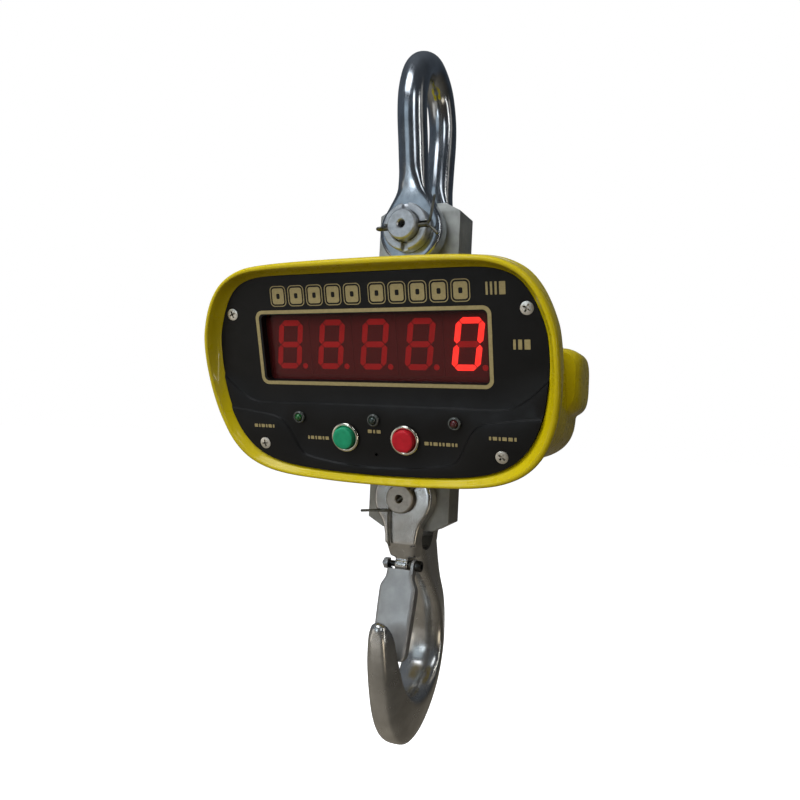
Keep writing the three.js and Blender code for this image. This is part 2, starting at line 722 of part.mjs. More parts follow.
function hookBody() {
  const slotR = FORK.inner;
  const slotZ = FORK.slotBottom + slotR;
  const cuts = [
    box(-BIG, BIG, -slotR, slotR, slotZ, 0),
    rodX(slotR, -BIG, BIG, 0, slotZ, 24),
    rodY(LOW_PIN.r + BORE_CLEARANCE, -BIG, BIG, 0, LOW_PIN.z, 36),
    rodX(2.4, -BIG, BIG, LATCH_PIVOT.y, LATCH_PIVOT.z, 16),
  ];
  const boss = rodX(4.4, -4.6, 4.6, LATCH_PIVOT.y, LATCH_PIVOT.z, 20);
  const web = box(-4.6, 4.6, LATCH_PIVOT.y, 4, LATCH_PIVOT.z - 5, LATCH_PIVOT.z + 8);
  return carve(hookSweep(), [hookEars(), hookShoulder(), boss, web], cuts);
}

function hookPin() {
  const z = LOW_PIN.z;
  const shaft = rodY(LOW_PIN.r, LOW_PIN.front, LOW_PIN.back + 2, 0, z, 36);
  const head = rodY(LOW_PIN.headR, LOW_PIN.back, LOW_PIN.back + LOW_PIN.headThick, 0, z, 32);
  const centre = rodY(2.5, LOW_PIN.front - 1, LOW_PIN.front + 4, 0, z, 14);
  const cross = rodX(LOW_COTTER.r + GAP, -30, 30, LOW_COTTER.y, 0, 12);
  cross.rotateY(-LOW_COTTER.angle);
  cross.translate(0, 0, z);
  return carve(shaft, [head], [centre, cross]);
}

function hookCotter() {
  const { y, r, angle } = LOW_COTTER;
  const z = LOW_PIN.z;
  const shank = rodX(r, -13, 13, y, 0, 10);
  shank.rotateY(-angle);
  shank.translate(0, 0, z);
  const [dx, dz] = [Math.cos(angle), Math.sin(angle)];
  const at = (d, side, drop, back) => [dx * d + side, y + back, z + dz * d + drop];
  const eye = new THREE.TorusGeometry(2, 1, 8, 14);
  eye.rotateX(Math.PI / 2);
  eye.rotateY(-angle);
  eye.translate(-dx * 14.5, y, z - dz * 14.5);
  const left = wire([
    at(11, 0, 0, 0), at(13.2, -2, 0.6, 0), at(13.4, -9, 0.4, -0.2), at(13.4, -18.5, -0.6, -0.4),
  ], 0.9, 6);
  const down = wire([
    at(11, 0, 0, 0), at(12.2, 0.6, -3, 0), at(12.4, 1.2, -12, 0.2), at(12.4, 2.2, -22.5, 0.4),
  ], 0.9, 6);
  return carve(shank, [eye, left, down], []);
}

// ---- latch ----------------------------------------------------------------------------

const FLANGE_DEPTH = 6.4;

// Sheet channel: the front plate hangs from two ears on the bolt and closes the mouth.
function latch() {
  const { wide, tip, narrow, length, thick, front } = LATCH;
  const { y, z } = LATCH_PIVOT;
  const lean = THREE.MathUtils.degToRad(14);
  const face = new THREE.Shape();
  face.moveTo(-narrow, -3.5);
  face.lineTo(narrow, -3.5);
  face.lineTo(narrow, -7);
  face.bezierCurveTo(narrow, -14, wide, -13, wide, -20);
  face.lineTo(tip, -length + 4);
  face.bezierCurveTo(tip - 1, -length, 1 - tip, -length, -tip, -length + 4);
  face.lineTo(-wide, -20);
  face.bezierCurveTo(-wide, -13, -narrow, -14, -narrow, -7);
  const plate = plateXZ(face, front, front + thick, 8);
  const ears = [-1, 1].map((side) => {
    const x0 = side > 0 ? narrow - thick : -narrow;
    const ear = box(x0, x0 + thick, front, 0, -12, 0);
    return toGeometry(toManifold(ear).add(toManifold(rodX(4.2, x0, x0 + thick, 0, 0, 18))));
  });
  const flanges = [-1, 1].map((side) => {
    const strip = new THREE.Shape();
    strip.moveTo(side * wide, -20);
    strip.lineTo(side * tip, -length + 4);
    strip.lineTo(side * (tip - thick), -length + 4);
    strip.lineTo(side * (wide - thick), -20);
    return plateXZ(strip, front, front + FLANGE_DEPTH);
  });
  const hole = rodX(2.4, -BIG, BIG, 0, 0, 16);
  const geometry = carve(plate, [...ears, ...flanges], [hole]);
  geometry.rotateX(-lean);
  return geometry.translate(0, y, z);
}

function addLatchHardware() {
  const { y, z } = LATCH_PIVOT;
  const outer = LATCH.narrow + GAP;
  const shank = rodX(2, -14.2, outer + 1, y, z, 16);
  const head = rodX(3.6, outer, outer + 3.6, y, z, 20);
  const socket = rodX(1.7, outer + 1.6, outer + 6, y, z, 6);
  add('latch_bolt', carve(shank, [head], [socket]), STEEL);
  const nut = carve(rodX(3.9, -outer - 3.2, -outer, y, z, 6), [],
    [rodX(2 + GAP, -BIG, BIG, y, z, 16)]);
  add('latch_nut', nut, ZINC);
  const side = 4.6 + GAP;
  const spring = rodX(3.4, side, side + 2.2, y, z, 20);
  const coil = carve(spring, [], [rodX(2.4, -BIG, BIG, y, z, 16)]);
  add('latch_spring', coil, STEEL);
}

// ---- front panel ----------------------------------------------------------------------

// Right half of each moulded step, from the middle outwards.
const UPPER_STEP = [[0, -35.5], [74, -35.8], [86, -34.2], [96, -28], [104, -20.5]];
const LOWER_STEP = [
  [0, -74.2], [24, -73], [46, -69.4], [53, -65], [60.5, -51], [68, -44.6], [84, -41.8], [104, -39.4],
];

const EDGE = 130;                  // clear of the panel's edge

// Everything on the panel below a step line.
function belowStep(half) {
  const curve = new THREE.SplineCurve(half.map(([x, w]) => new THREE.Vector2(x, w)));
  const right = curve.getPoints(14);
  const left = right.slice(1).reverse().map((p) => new THREE.Vector2(-p.x, p.y));
  const line = [...left, ...right];
  const end = line[line.length - 1].y;
  return new THREE.Shape([
    new THREE.Vector2(-EDGE, end), ...line, new THREE.Vector2(EDGE, end),
    new THREE.Vector2(EDGE, -EDGE), new THREE.Vector2(-EDGE, -EDGE),
  ]);
}

// Everything in front of a level and above a step line.
function aboveStep(half, level) {
  const all = new THREE.BoxGeometry(EDGE * 2, EDGE * 2, 10).translate(0, 0, level + 5);
  return toManifold(all).subtract(toManifold(platePanel(belowStep(half), -1, 15)));
}

function frontPanel() {
  const slab = toManifold(platePanel(new THREE.Shape(rimPoints(PANEL_EDGE)), -PANEL_THICK, STEP * 2));
  const window = roundRect(
    -WINDOW.halfWidth, WINDOW.halfWidth, WINDOW.bottom, WINDOW.top, WINDOW.corner);
  const collar = roundRect(
    -WINDOW.halfWidth - 2, WINDOW.halfWidth + 2, WINDOW.bottom - 2, WINDOW.top + 2, 4);
  let solid = slab.subtract(aboveStep(UPPER_STEP, 0)).subtract(aboveStep(LOWER_STEP, STEP));
  solid = solid.add(toManifold(platePanel(collar, -5.2, -1)));
  solid = solid.subtract(toManifold(platePanel(window, -10, 10, 4)));
  const holes = [
    ...[-LAMP_X, 0, LAMP_X].map((x) => rodZ(3.1, -10, 10, x, LAMP_W, 20)),
    ...[-BUTTON.x, BUTTON.x].map((x) => rodZ(8, -10, 10, x, BUTTON.w, 28)),
    ...SCREWS.map(([x, w]) => rodZ(2.3, -10, 10, x, w, 14)),
    ...SCREWS.map(([x, w]) => panelCountersink(x, w)),
    rodZ(1, -10, 10, 0, -66, 10),
  ];
  for (const hole of holes) {
    solid = solid.subtract(toManifold(hole));
  }
  return toGeometry(solid);
}

function screwLevel(w) {
  return w < 0 ? STEP * 2 : 0;
}

function panelCountersink(x, w) {
  const top = screwLevel(w);
  const cone = turned([[0, -2.6], [2, -2.6], [4.1, 0], [4.1, 4], [0, 4]], 20);
  return cone.translate(x, w, top);
}

function panelScrew() {
  const body = turned([
    [0, -13], [1.4, -13], [1.4, -2.6], [3.6, -0.5], [3.75, -0.25], [0, 0.05],
  ], 14);
  const slots = [0, 90].map((degrees) => box(-2, 2, -0.4, 0.4, -1.2, 1)
    .rotateZ(THREE.MathUtils.degToRad(degrees)));
  return carve(body, [], slots);
}

function addPanelPieces() {
  add('front_panel', frontPanel(), BLACK, panelFrame);
  const strip = new THREE.Shape(rimPoints(PANEL_EDGE + 0.04));
  strip.holes.push(new THREE.Path(rimPoints(PANEL_EDGE + 0.4)));
  const back = -PANEL_THICK - GAP;
  add('panel_gasket', platePanel(strip, back - 0.9, back), RUBBER, panelFrame);
  const lens = roundRect(-75, 75, WINDOW.bottom - 1.6, WINDOW.top + 1.6, 3);
  add('display_window', platePanel(lens, -7, -5.5, 4), SMOKED_RED, panelFrame);
  SCREWS.forEach(([x, w], i) => {
    const screw = add(`panel_screw_${i + 1}`, panelScrew(), SCREW_STEEL, panelFrame);
    screw.position.set(x, w, screwLevel(w));
    screw.rotation.z = i * 0.7;
  });
}

function addDisplay() {
  const { count, pitch, height, depth, front } = DIGIT;
  for (let i = 0; i < count; i += 1) {
    const digit = new THREE.BoxGeometry(pitch - 0.3, height, depth);
    const mesh = add(`led_digit_${i + 1}`, digit, DIGIT_GREY, panelFrame);
    mesh.position.set((i - (count - 1) / 2) * pitch, -0.4, -front - depth / 2);
  }
  const back = -front - depth - GAP;
  const board = roundRect(-79, 79, -27, 25, 2);
  add('display_board', platePanel(board, back - 1.6, back, 3), BOARD, panelFrame);
}

function lampHolder() {
  return turned([
    [2.65, -4], [3.0, -4], [3.0, 0], [3.9, 0], [3.9, 1], [3.3, 1.7], [2.65, 1.7], [2.65, -4],
  ], 18);
}

function lamp() {
  return turned([
    [0, -6], [2.4, -6], [2.4, 1.2], [2.1, 2.2], [1.3, 2.9], [0, 3.2],
  ], 14);
}

function addLamps() {
  const names = ['left', 'middle', 'right'];
  [-LAMP_X, 0, LAMP_X].forEach((x, i) => {
    const holder = add(`lamp_holder_${names[i]}`, lampHolder(), CLEAR, panelFrame);
    const led = add(`lamp_${names[i]}`, lamp(), CLEAR, panelFrame);
    for (const mesh of [holder, led]) {
      mesh.position.set(x, LAMP_W, STEP + GAP);
    }
  });
}

function buttonBezel() {
  const { boreR, ringR } = BUTTON;
  return turned([
    [boreR, -7], [7.75, -7], [7.75, 0], [ringR, 0], [ringR, 1.1], [ringR - 0.7, 1.8],
    [boreR + 0.5, 1.8], [boreR, 1.3], [boreR, -7],
  ], 24);
}

function buttonCap() {
  const { capR, proud } = BUTTON;
  const top = proud - STEP;
  return turned([
    [0, -4], [3, -4], [3, -2], [capR, -2], [capR, top - 0.7], [capR - 0.7, top], [0, top],
  ], 20);
}

function switchBody() {
  const legs = [-3, 3].map((x) => rodZ(1, -24, -19, x, 0, 8));
  return carve(rodZ(8.4, -20, -7.8, 0, 0, 24), legs, []);
}

function addButtons() {
  for (const [colour, side, material] of [['green', -1, CAP_GREEN], ['red', 1, CAP_RED]]) {
    const pieces = [
      add(`button_bezel_${colour}`, buttonBezel(), CHROME, panelFrame),
      add(`button_cap_${colour}`, buttonCap(), material, panelFrame),
      add(`switch_body_${colour}`, switchBody(), BLACK, panelFrame),
    ];
    for (const mesh of pieces) {
      mesh.position.set(side * BUTTON.x, BUTTON.w, STEP + GAP);
    }
  }
}

// ---- electronics ----------------------------------------------------------------------

function addElectronics() {
  const board = roundRect(-62, 62, -40, 26, 3);
  add('main_board', plateXZ(board, -36, -34.4, 3), BOARD);
  add('battery_pack', plateXZ(roundRect(-54, 54, -24, 12, 5), 16.2, 42, 4), BATTERY);
  const buzzer = add('buzzer', turned([[0, -13], [5, -13], [5, -5.2], [0, -5.2]], 20), BLACK, panelFrame);
  buzzer.position.set(0, -66, 0);
  const flange = -BULGE.x - GAP;
  const socket = carve(rodX(SOCKET.r, flange - 1, flange + 18, SOCKET.y, SOCKET.z, 20),
    [rodX(8.5, flange - 1.2, flange + 0.01, SOCKET.y, SOCKET.z, 24)],
    [rodX(3, flange - 5, flange + 10, SOCKET.y, SOCKET.z, 14)]);
  add('charge_socket', socket, STEEL);
  const cap = rodX(7.6, flange - 1.2 - GAP - 1.4, flange - 1.2 - GAP, SOCKET.y, SOCKET.z, 24);
  add('socket_cap', cap, RUBBER);
}

// ---- put everything in place ------------------------------------------------------------

// The shackle's pieces are drawn upright and then swung about the pin.
const swung = new THREE.Group();
scale.add(swung);
add('shackle_bow', shackleBow(), CHROME, swung);
add('shackle_pin', shacklePin(), ZINC, swung);
add('castle_nut', castleNut(), ZINC, swung);
add('shackle_cotter', shackleCotter(), STEEL, swung);
const pinAxis = new THREE.Vector3(0, 0, TOP_PIN.z);
swung.position.copy(pinAxis).sub(
  pinAxis.clone().applyAxisAngle(new THREE.Vector3(0, 1, 0), SHACKLE_SWING));
swung.position.y = SHACKLE_SHIFT;
swung.rotation.y = SHACKLE_SWING;

add('load_cell', loadCell(), STEEL);
const frontCover = add('gauge_cover_front', gaugeCover(), ZINC);
frontCover.rotation.x = Math.PI / 2;
frontCover.position.y = -CELL.halfThick - GAP;
const rearCover = add('gauge_cover_rear', gaugeCover(), ZINC);
rearCover.rotation.x = -Math.PI / 2;
rearCover.position.y = CELL.halfThick + GAP;
add('case_bolt_upper', caseBolt(), ZINC).position.z = EAR_Z;
add('case_bolt_lower', caseBolt(), ZINC).position.z = -EAR_Z;

add('front_case', frontCase(), YELLOW);
add('rear_case', rearCase(), YELLOW);
add('battery_cover', batteryCover(), YELLOW);
addRearScrews();
add('slot_seal_top', slotSeal(CELL.halfThick, 36, 47), RUBBER);
add('slot_seal_bottom', slotSeal(CELL.tongueHalfThick, -66, -58.5), RUBBER);

addPanelPieces();
addDisplay();
addLamps();
addButtons();
addElectronics();

add('hook', hookBody(), CHROME);
add('hook_pin', hookPin(), ZINC);
add('hook_cotter', hookCotter(), STEEL);
add('hook_latch', latch(), STEEL);
addLatchHardware();

swung.updateMatrix();
const crown = new THREE.Vector3(0, 0, SHACKLE.apexZ - SHACKLE.rodR);
scale.position.copy(crown.applyMatrix4(swung.matrix)).negate();

export default scale;
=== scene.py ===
"""Crane scale: finer shapes, materials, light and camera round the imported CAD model."""

import math

import bmesh
import bpy
import numpy as np
from mathutils import Matrix, Vector
from mathutils.geometry import delaunay_2d_cdt


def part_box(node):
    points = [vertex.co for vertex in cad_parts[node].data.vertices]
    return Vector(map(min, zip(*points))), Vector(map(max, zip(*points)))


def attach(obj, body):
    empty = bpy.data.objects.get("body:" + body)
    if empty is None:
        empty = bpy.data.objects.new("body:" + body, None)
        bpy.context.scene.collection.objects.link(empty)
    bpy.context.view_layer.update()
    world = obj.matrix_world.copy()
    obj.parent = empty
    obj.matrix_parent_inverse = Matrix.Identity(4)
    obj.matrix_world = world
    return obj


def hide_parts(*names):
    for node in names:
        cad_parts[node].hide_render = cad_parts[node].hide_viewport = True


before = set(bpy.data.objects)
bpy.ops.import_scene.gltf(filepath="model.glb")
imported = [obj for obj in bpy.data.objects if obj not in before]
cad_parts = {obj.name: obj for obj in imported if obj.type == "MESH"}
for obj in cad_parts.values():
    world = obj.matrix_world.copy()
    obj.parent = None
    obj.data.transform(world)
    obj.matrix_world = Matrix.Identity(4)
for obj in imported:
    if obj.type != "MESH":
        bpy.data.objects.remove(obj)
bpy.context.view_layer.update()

# ---- places ----
# Shapes are drawn in millimetres round the middle of the load cell, with +Z up and the
# display facing -Y, and are then moved to where the CAD has the load cell.

MM = 0.001
BAR_TOP = 110
_low, _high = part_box("load_cell")
BASE = np.array([(_low.x + _high.x) / 2, (_low.y + _high.y) / 2, _high.z - BAR_TOP * MM])

TOP_PIN_Z = 89
LOW_PIN_Z = -87
SWING = math.radians(-1.5)          # the shackle is swung a little about its pin
SWING_SHIFT_Y = -0.5
TILT = math.radians(16.1)           # the display leans to face downwards
PANEL_Y, PANEL_Z = -79.4, 6.0


def panel_points(points, x=0.0, w=0.0, level=0.0):
    """Points given along the panel, up it and out of it, at a place on the panel."""
    p = np.asarray(points, float) + np.array([x, w, level])
    y = PANEL_Y - p[:, 1] * math.sin(TILT) - p[:, 2] * math.cos(TILT)
    z = PANEL_Z + p[:, 1] * math.cos(TILT) - p[:, 2] * math.sin(TILT)
    return np.stack([p[:, 0], y, z], 1)


# A shape is a pair: its points, and its faces as lists of point numbers.

def placed(shape, move):
    """The shape with its points moved by a function of x, y and z."""
    points, faces = shape
    return np.stack(move(*np.asarray(points, float).T), 1), faces


def on_panel(shape, x=0.0, w=0.0, level=0.0):
    return panel_points(shape[0], x, w, level), shape[1]


def swung(shape):
    """A shape of the shackle, swung about its pin."""
    c, s = math.cos(SWING), math.sin(SWING)
    return placed(shape, lambda x, y, z: (
        x * c + (z - TOP_PIN_Z) * s, y + SWING_SHIFT_Y, -x * s + (z - TOP_PIN_Z) * c + TOP_PIN_Z))


def along_y(shape, x=0.0, y=0.0, z=0.0):
    """A turned shape whose own axis is made to run along +Y."""
    return placed(shape, lambda a, b, h: (a + x, h + y, -b + z))


def along_x(shape, x=0.0, y=0.0, z=0.0):
    """A turned shape whose own axis is made to run along +X."""
    return placed(shape, lambda a, b, h: (h + x, a + y, b + z))


def upright(shape):
    """A flat shape stood up, so that its thickness runs along +Y."""
    return placed(shape, lambda a, b, h: (a, h, b))


def flipped(shape, side):
    """A shape turned over end to end where side is -1."""
    return placed(shape, lambda a, b, h: (a, b, h * side))


def turned_y(shape, angle):
    """A shape turned about the Y axis from +X towards +Z."""
    c, s = math.cos(angle), math.sin(angle)
    return placed(shape, lambda x, y, z: (x * c - z * s, y, x * s + z * c))


def moved(shape, x, y, z):
    return placed(shape, lambda a, b, h: (a + x, b + y, h + z))


# ---- mesh tools ----

def mesh_object(name, shape):
    """A new object from a shape in millimetres, with its faces turned outwards."""
    points, faces = shape
    mesh = bpy.data.meshes.new(name)
    world = np.asarray(points, float) * MM + BASE
    mesh.from_pydata([tuple(p) for p in world], [], [tuple(f) for f in faces])
    bm = bmesh.new()
    bm.from_mesh(mesh)
    bmesh.ops.recalc_face_normals(bm, faces=bm.faces)
    bm.to_mesh(mesh)
    bm.free()
    ob = bpy.data.objects.new(name, mesh)
    bpy.context.scene.collection.objects.link(ob)
    return ob


def join_shapes(*shapes):
    points, faces, start = [], [], 0
    for p, f in shapes:
        points.append(np.asarray(p, float))
        faces += [[i + start for i in face] for face in f]
        start += len(p)
    return np.concatenate(points), faces


def modify(ob, kind, **settings):
    modifier = ob.modifiers.new(kind, kind)
    for key, value in settings.items():
        setattr(modifier, key, value)


def apply_modifiers(ob):
    graph = bpy.context.evaluated_depsgraph_get()
    mesh = bpy.data.meshes.new_from_object(ob.evaluated_get(graph))
    ob.modifiers.clear()
    ob.data = mesh


def boolean(ob, shapes, operation="DIFFERENCE"):
    others = [mesh_object("cutter", shape) for shape in shapes]
    for other in others:
        modify(ob, "BOOLEAN", operation=operation, solver="EXACT", object=other)
    apply_modifiers(ob)
    for other in others:
        bpy.data.objects.remove(other)


def bevel(ob, width, segments=2):
    modify(ob, "BEVEL", width=width * MM, segments=segments, limit_method="ANGLE",
           angle_limit=math.radians(32), use_clamp_overlap=True)
    apply_modifiers(ob)


def melt(ob, voxel, rounds):
    """Runs overlapping shapes together and softens the joins, as in a casting."""
    modify(ob, "REMESH", mode="VOXEL", voxel_size=voxel * MM)
    modify(ob, "SMOOTH", factor=0.5, iterations=rounds)
    apply_modifiers(ob)


def finish_piece(ob, body, material, stands_for=(), angle=35):
    ob.data.shade_smooth()
    ob.data.set_sharp_from_angle(angle=math.radians(angle))
    ob.data.materials.clear()
    ob.data.materials.append(material)
    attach(ob, body)
    if stands_for:
        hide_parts(*stands_for)


def piece(name, shape, material, slot, body="scale_body", stands_for=(), angle=35, cut=(), soft=0):
    """A finished piece: a shape less the shapes that cut it, with its edges softened."""
    ob = mesh_object(name, shape)
    if cut:
        boolean(ob, cut)
    if soft:
        bevel(ob, soft)
    finish_piece(ob, body, material, stands_for, angle)


def stand_in(node, word, *looks, **values):
    """A piece that is seen in place of a CAD node and is named after it."""
    piece(f"{node}_{word}", *looks, stands_for=[node], **values)


def full_turn(count):
    return np.arange(count) * 2 * math.pi / count


def quarter_turn(count):
    return np.linspace(0, math.pi / 2, count)[:-1]


def loft(loops, ends="caps"):
    """Skin over loops with the same number of points: 'caps' closes both ends, 'ring'
    joins the last loop to the first."""
    count = len(loops[0])
    faces = []
    last = len(loops) if ends == "ring" else len(loops) - 1
    for i in range(last):
        a, b = i * count, ((i + 1) % len(loops)) * count
        for j in range(count):
            k = (j + 1) % count
            faces.append([a + j, a + k, b + k, b + j])
    if ends == "caps":
        end = (len(loops) - 1) * count
        faces.append(list(range(count)))
        faces.append([end + j for j in range(count)])
    return np.concatenate(loops), faces


def lathe(profile, sides=48):
    """A closed solid of revolution from (radius, height) pairs."""
    closed = profile[0] == profile[-1]
    rows = profile[:-1] if closed else profile
    turn = full_turn(sides)
    points, rings = [], []
    for r, h in rows:
        if r == 0:
            rings.append([len(points)])
            points.append((0, 0, h))
        else:
            rings.append(list(range(len(points), len(points) + sides)))
            points += [(r * math.cos(t), r * math.sin(t), h) for t in turn]
    pairs = list(zip(rings, rings[1:]))
    if closed:
        pairs.append((rings[-1], rings[0]))
    faces = []
    for a, b in pairs:
        for j in range(sides):
            k = (j + 1) % sides
            quad = [a[j % len(a)], a[k % len(a)], b[k % len(b)], b[j % len(b)]]
            faces.append(list(dict.fromkeys(quad)))
    return np.array(points), faces


def at_level(outline, z):
    """A flat outline as points at one height."""
    flat = np.asarray(outline, float)
    return np.column_stack([flat, np.full(len(flat), z)])


def prism(outline, low, high):
    """A flat outline in x, y standing from low to high along z."""
    return loft([at_level(outline, low), at_level(outline, high)])


def box(x0, x1, y0, y1, z0, z1):
    return prism([(x0, y0), (x1, y0), (x1, y1), (x0, y1)], z0, z1)


def rod(r, low, high, sides=40):
    return lathe([(0, low), (r, low), (r, high), (0, high)], sides)


def plate_ring(outer, inner, low, high):
    """A flat ring between two outlines with the same number of points."""
    loops = ((outer, low), (outer, high), (inner, high), (inner, low))
    return loft([at_level(outline, level) for outline, level in loops], "ring")


def round_rect(x0, x1, y0, y1, r, steps=8):
    points = []
    corners = [(x1 - r, y0 + r, -90), (x1 - r, y1 - r, 0), (x0 + r, y1 - r, 90), (x0 + r, y0 + r, 180)]
    for cx, cy, start in corners:
        for i in range(steps + 1):
            t = math.radians(start + 90 * i / steps)
            points.append((cx + r * math.cos(t), cy + r * math.sin(t)))
    return np.array(points)


def circle(x, y, r, steps=40):
    t = full_turn(steps)
    return np.column_stack([x + r * np.cos(t), y + r * np.sin(t)])


def spline(points, steps, closed=False):
    """Smooth curve through points (Catmull-Rom), with steps pieces between each two."""
    p = np.asarray(points, float)
    if closed:
        ext = np.concatenate([p[-1:], p, p[:2]])
    else:
        ext = np.concatenate([2 * p[:1] - p[1:2], p, 2 * p[-1:] - p[-2:-1]])
    rows = []
    for i in range(len(ext) - 3):
        a, b, c, d = ext[i:i + 4]
        for k in range(steps):
            t = k / steps
            rows.append(0.5 * (2 * b + (c - a) * t + (2 * a - 5 * b + 4 * c - d) * t * t
                               + (3 * b - a - 3 * c + d) * t ** 3))
    if not closed:
        rows.append(p[-1])
    return np.array(rows)


def soften(points, rounds, closed=True):
    p = np.asarray(points, float).copy()
    for _ in range(rounds):
        middle = (np.roll(p, 1, 0) + np.roll(p, -1, 0)) / 2
        q = p * 0.5 + middle * 0.5
        if not closed:
            q[0], q[-1] = p[0], p[-1]
        p = q
    return p


def unit_rows(vectors):
    return vectors / np.linalg.norm(vectors, axis=1, keepdims=True)


def wire_loop(centre, tangent, side, radius, sides):
    """A ring of points round a wire, and the sideways direction it starts from."""
    side = side - tangent * (side @ tangent)
    side /= np.linalg.norm(side)
    other = np.cross(tangent, side)
    turn = full_turn(sides)
    return centre + radius * (np.outer(np.cos(turn), side) + np.outer(np.sin(turn), other)), side


def tube(path, radius, sides=14):
    """A round wire along a path, with rounded ends."""
    path = np.asarray(path, float)
    tangent = unit_rows(np.gradient(path, axis=0))
    side = np.cross(tangent[0], (0.3, 0.9, 0.2))
    loops = []
    for p, t in zip(path, tangent):
        loop, side = wire_loop(p, t, side, radius, sides)
        loops.append(loop)
    first = path[0] + (loops[0] - path[0]) * 0.6 - tangent[0] * radius * 0.4
    final = path[-1] + (loops[-1] - path[-1]) * 0.6 + tangent[-1] * radius * 0.4
    return loft([first, *loops, final])


def ring_tube(path, radius, sides=14):
    """A closed round wire."""
    path = np.asarray(path, float)
    tangent = unit_rows(np.roll(path, -1, 0) - np.roll(path, 1, 0))
    centre = path.mean(0)
    loops = [wire_loop(p, t, p - centre, radius, sides)[0] for p, t in zip(path, tangent)]
    return loft(loops, "ring")


def split_pin(at, shank, shank_r, eye, eye_wire, legs, leg_wire):
    """A split pin's shank, eye and two bent legs. Places go to at() as how far along the
    pin's hole, sideways, up and back. The eye has a place, two half sizes and a count."""
    middle, half, deep, count = eye
    ring = [at(middle + half * math.cos(t), 0, 0, deep * math.sin(t)) for t in full_turn(count)]
    bent = [tube(spline([at(*place) for place in leg], 6), leg_wire) for leg in legs]
    return join_shapes(tube([at(along) for along in shank], shank_r), ring_tube(ring, eye_wire), *bent)


def smoothstep(t):
    t = np.clip(t, 0, 1)
    return t * t * (3 - 2 * t)


# ---- materials ----

def set_sockets(node, values):
    """Sets sockets by name, with an underscore for each blank."""
    for key, value in values.items():
        node.inputs[key.replace("_", " ")].default_value = value


def add_node(tree, kind, **values):
    node = tree.nodes.new("ShaderNode" + kind)
    set_sockets(node, values)
    return node


def set_stops(ramp_node, stops):
    elements = ramp_node.color_ramp.elements
    while len(elements) < len(stops):
        elements.new(0.5)
    for element, (place, colour) in zip(elements, stops):
        element.position = place
        element.color = (*colour, 1)


def link_all(tree, links):
    """Links given as (node, output, node, input)."""
    for source, output, target, socket in links:
        tree.links.new(source.outputs[output], target.inputs[socket])


class Finish:
    """A Principled material whose colour, roughness and bump come from noise."""

    def __init__(self, name, **values):
        self.material = bpy.data.materials.new(name)
        self.material.use_nodes = True
        self.tree = self.material.node_tree
        self.shader = self.tree.nodes["Principled BSDF"]
        self.coords = add_node(self.tree, "TexCoord")
        set_sockets(self.shader, values)

    def link(self, source, target):
        self.tree.links.new(source, target)

    def noise(self, scale, detail=3.0, rough=0.5, stretch=(1, 1, 1)):
        place = add_node(self.tree, "Mapping", Scale=stretch)
        node = add_node(self.tree, "TexNoise", Scale=scale, Detail=detail, Roughness=rough)
        self.link(self.coords.outputs["Object"], place.inputs["Vector"])
        self.link(place.outputs["Vector"], node.inputs["Vector"])
        return node.outputs["Fac"]

    def ramp(self, factor, dark, light, start=0.3, end=0.7):
        node = add_node(self.tree, "ValToRGB")
        set_stops(node, [(start, dark), (end, light)])
        self.link(factor, node.inputs["Fac"])
        return node.outputs["Color"]

    def math(self, operation, a, b):
        node = add_node(self.tree, "Math")
        node.operation = operation
        self.link(a, node.inputs[0])
        if isinstance(b, float):
            node.inputs[1].default_value = b
        else:
            self.link(b, node.inputs[1])
        return node.outputs["Value"]

    def multiply(self, a, b, factor):
        node = add_node(self.tree, "Mix", Factor=factor)
        node.data_type = "RGBA"
        node.blend_type = "MULTIPLY"
        self.link(a, node.inputs[6])
        self.link(b, node.inputs[7])
        return node.outputs[2]

    def colour(self, source):
        self.link(source, self.shader.inputs["Base Color"])

    def roughness(self, factor, low, high):
        """Spreads the middle of a noise's range over low to high."""
        node = add_node(self.tree, "MapRange", From_Min=0.3, From_Max=0.7, To_Min=low, To_Max=high)
        self.link(factor, node.inputs["Value"])
        self.link(node.outputs["Result"], self.shader.inputs["Roughness"])

    def bump(self, *layers):
        """Layers are (height, strength, distance in millimetres), coarse to fine."""
        normal = None
        for height, strength, distance in layers:
            node = add_node(self.tree, "Bump", Strength=strength, Distance=distance * MM)
            self.link(height, node.inputs["Height"])
            if normal:
                self.link(normal, node.inputs["Normal"])
            normal = node.outputs["Normal"]
        self.link(normal, self.shader.inputs["Normal"])


def metal(name, dark, light, rough, patch=90, grain=2500, grain_depth=0.02, streak=(1, 1, 1),
          wave=0.0, metallic=1.0):
    """Bare or plated metal: cloudy colour, uneven gloss, fine grain and slight waviness."""
    f = Finish(name, Metallic=metallic)
    f.colour(f.ramp(f.noise(patch, 4.0, 0.6), dark, light, 0.32, 0.68))
    fine = f.noise(grain, 3.0, 0.6, streak)
    smear = f.noise(patch * 1.7, 3.0, 0.55, streak)
    f.roughness(f.math("ADD", f.math("MULTIPLY", smear, 0.6), f.math("MULTIPLY", fine, 0.4)), *rough)
    layers = [(fine, 0.5, grain_depth)]
    if wave:
        layers.insert(0, (f.noise(70, 1.5, 0.4), 0.6, wave))
    f.bump(*layers)
    return f.material


def plastic(name, dark, light, rough, patch=150, grain=1800, grain_depth=0.03, **values):
    f = Finish(name, **values)
    f.colour(f.ramp(f.noise(patch, 4.0, 0.6), dark, light))
    f.roughness(f.noise(patch * 2.3), *rough)
    f.bump((f.noise(grain, 3.0, 0.6), 0.5, grain_depth))
    return f.material


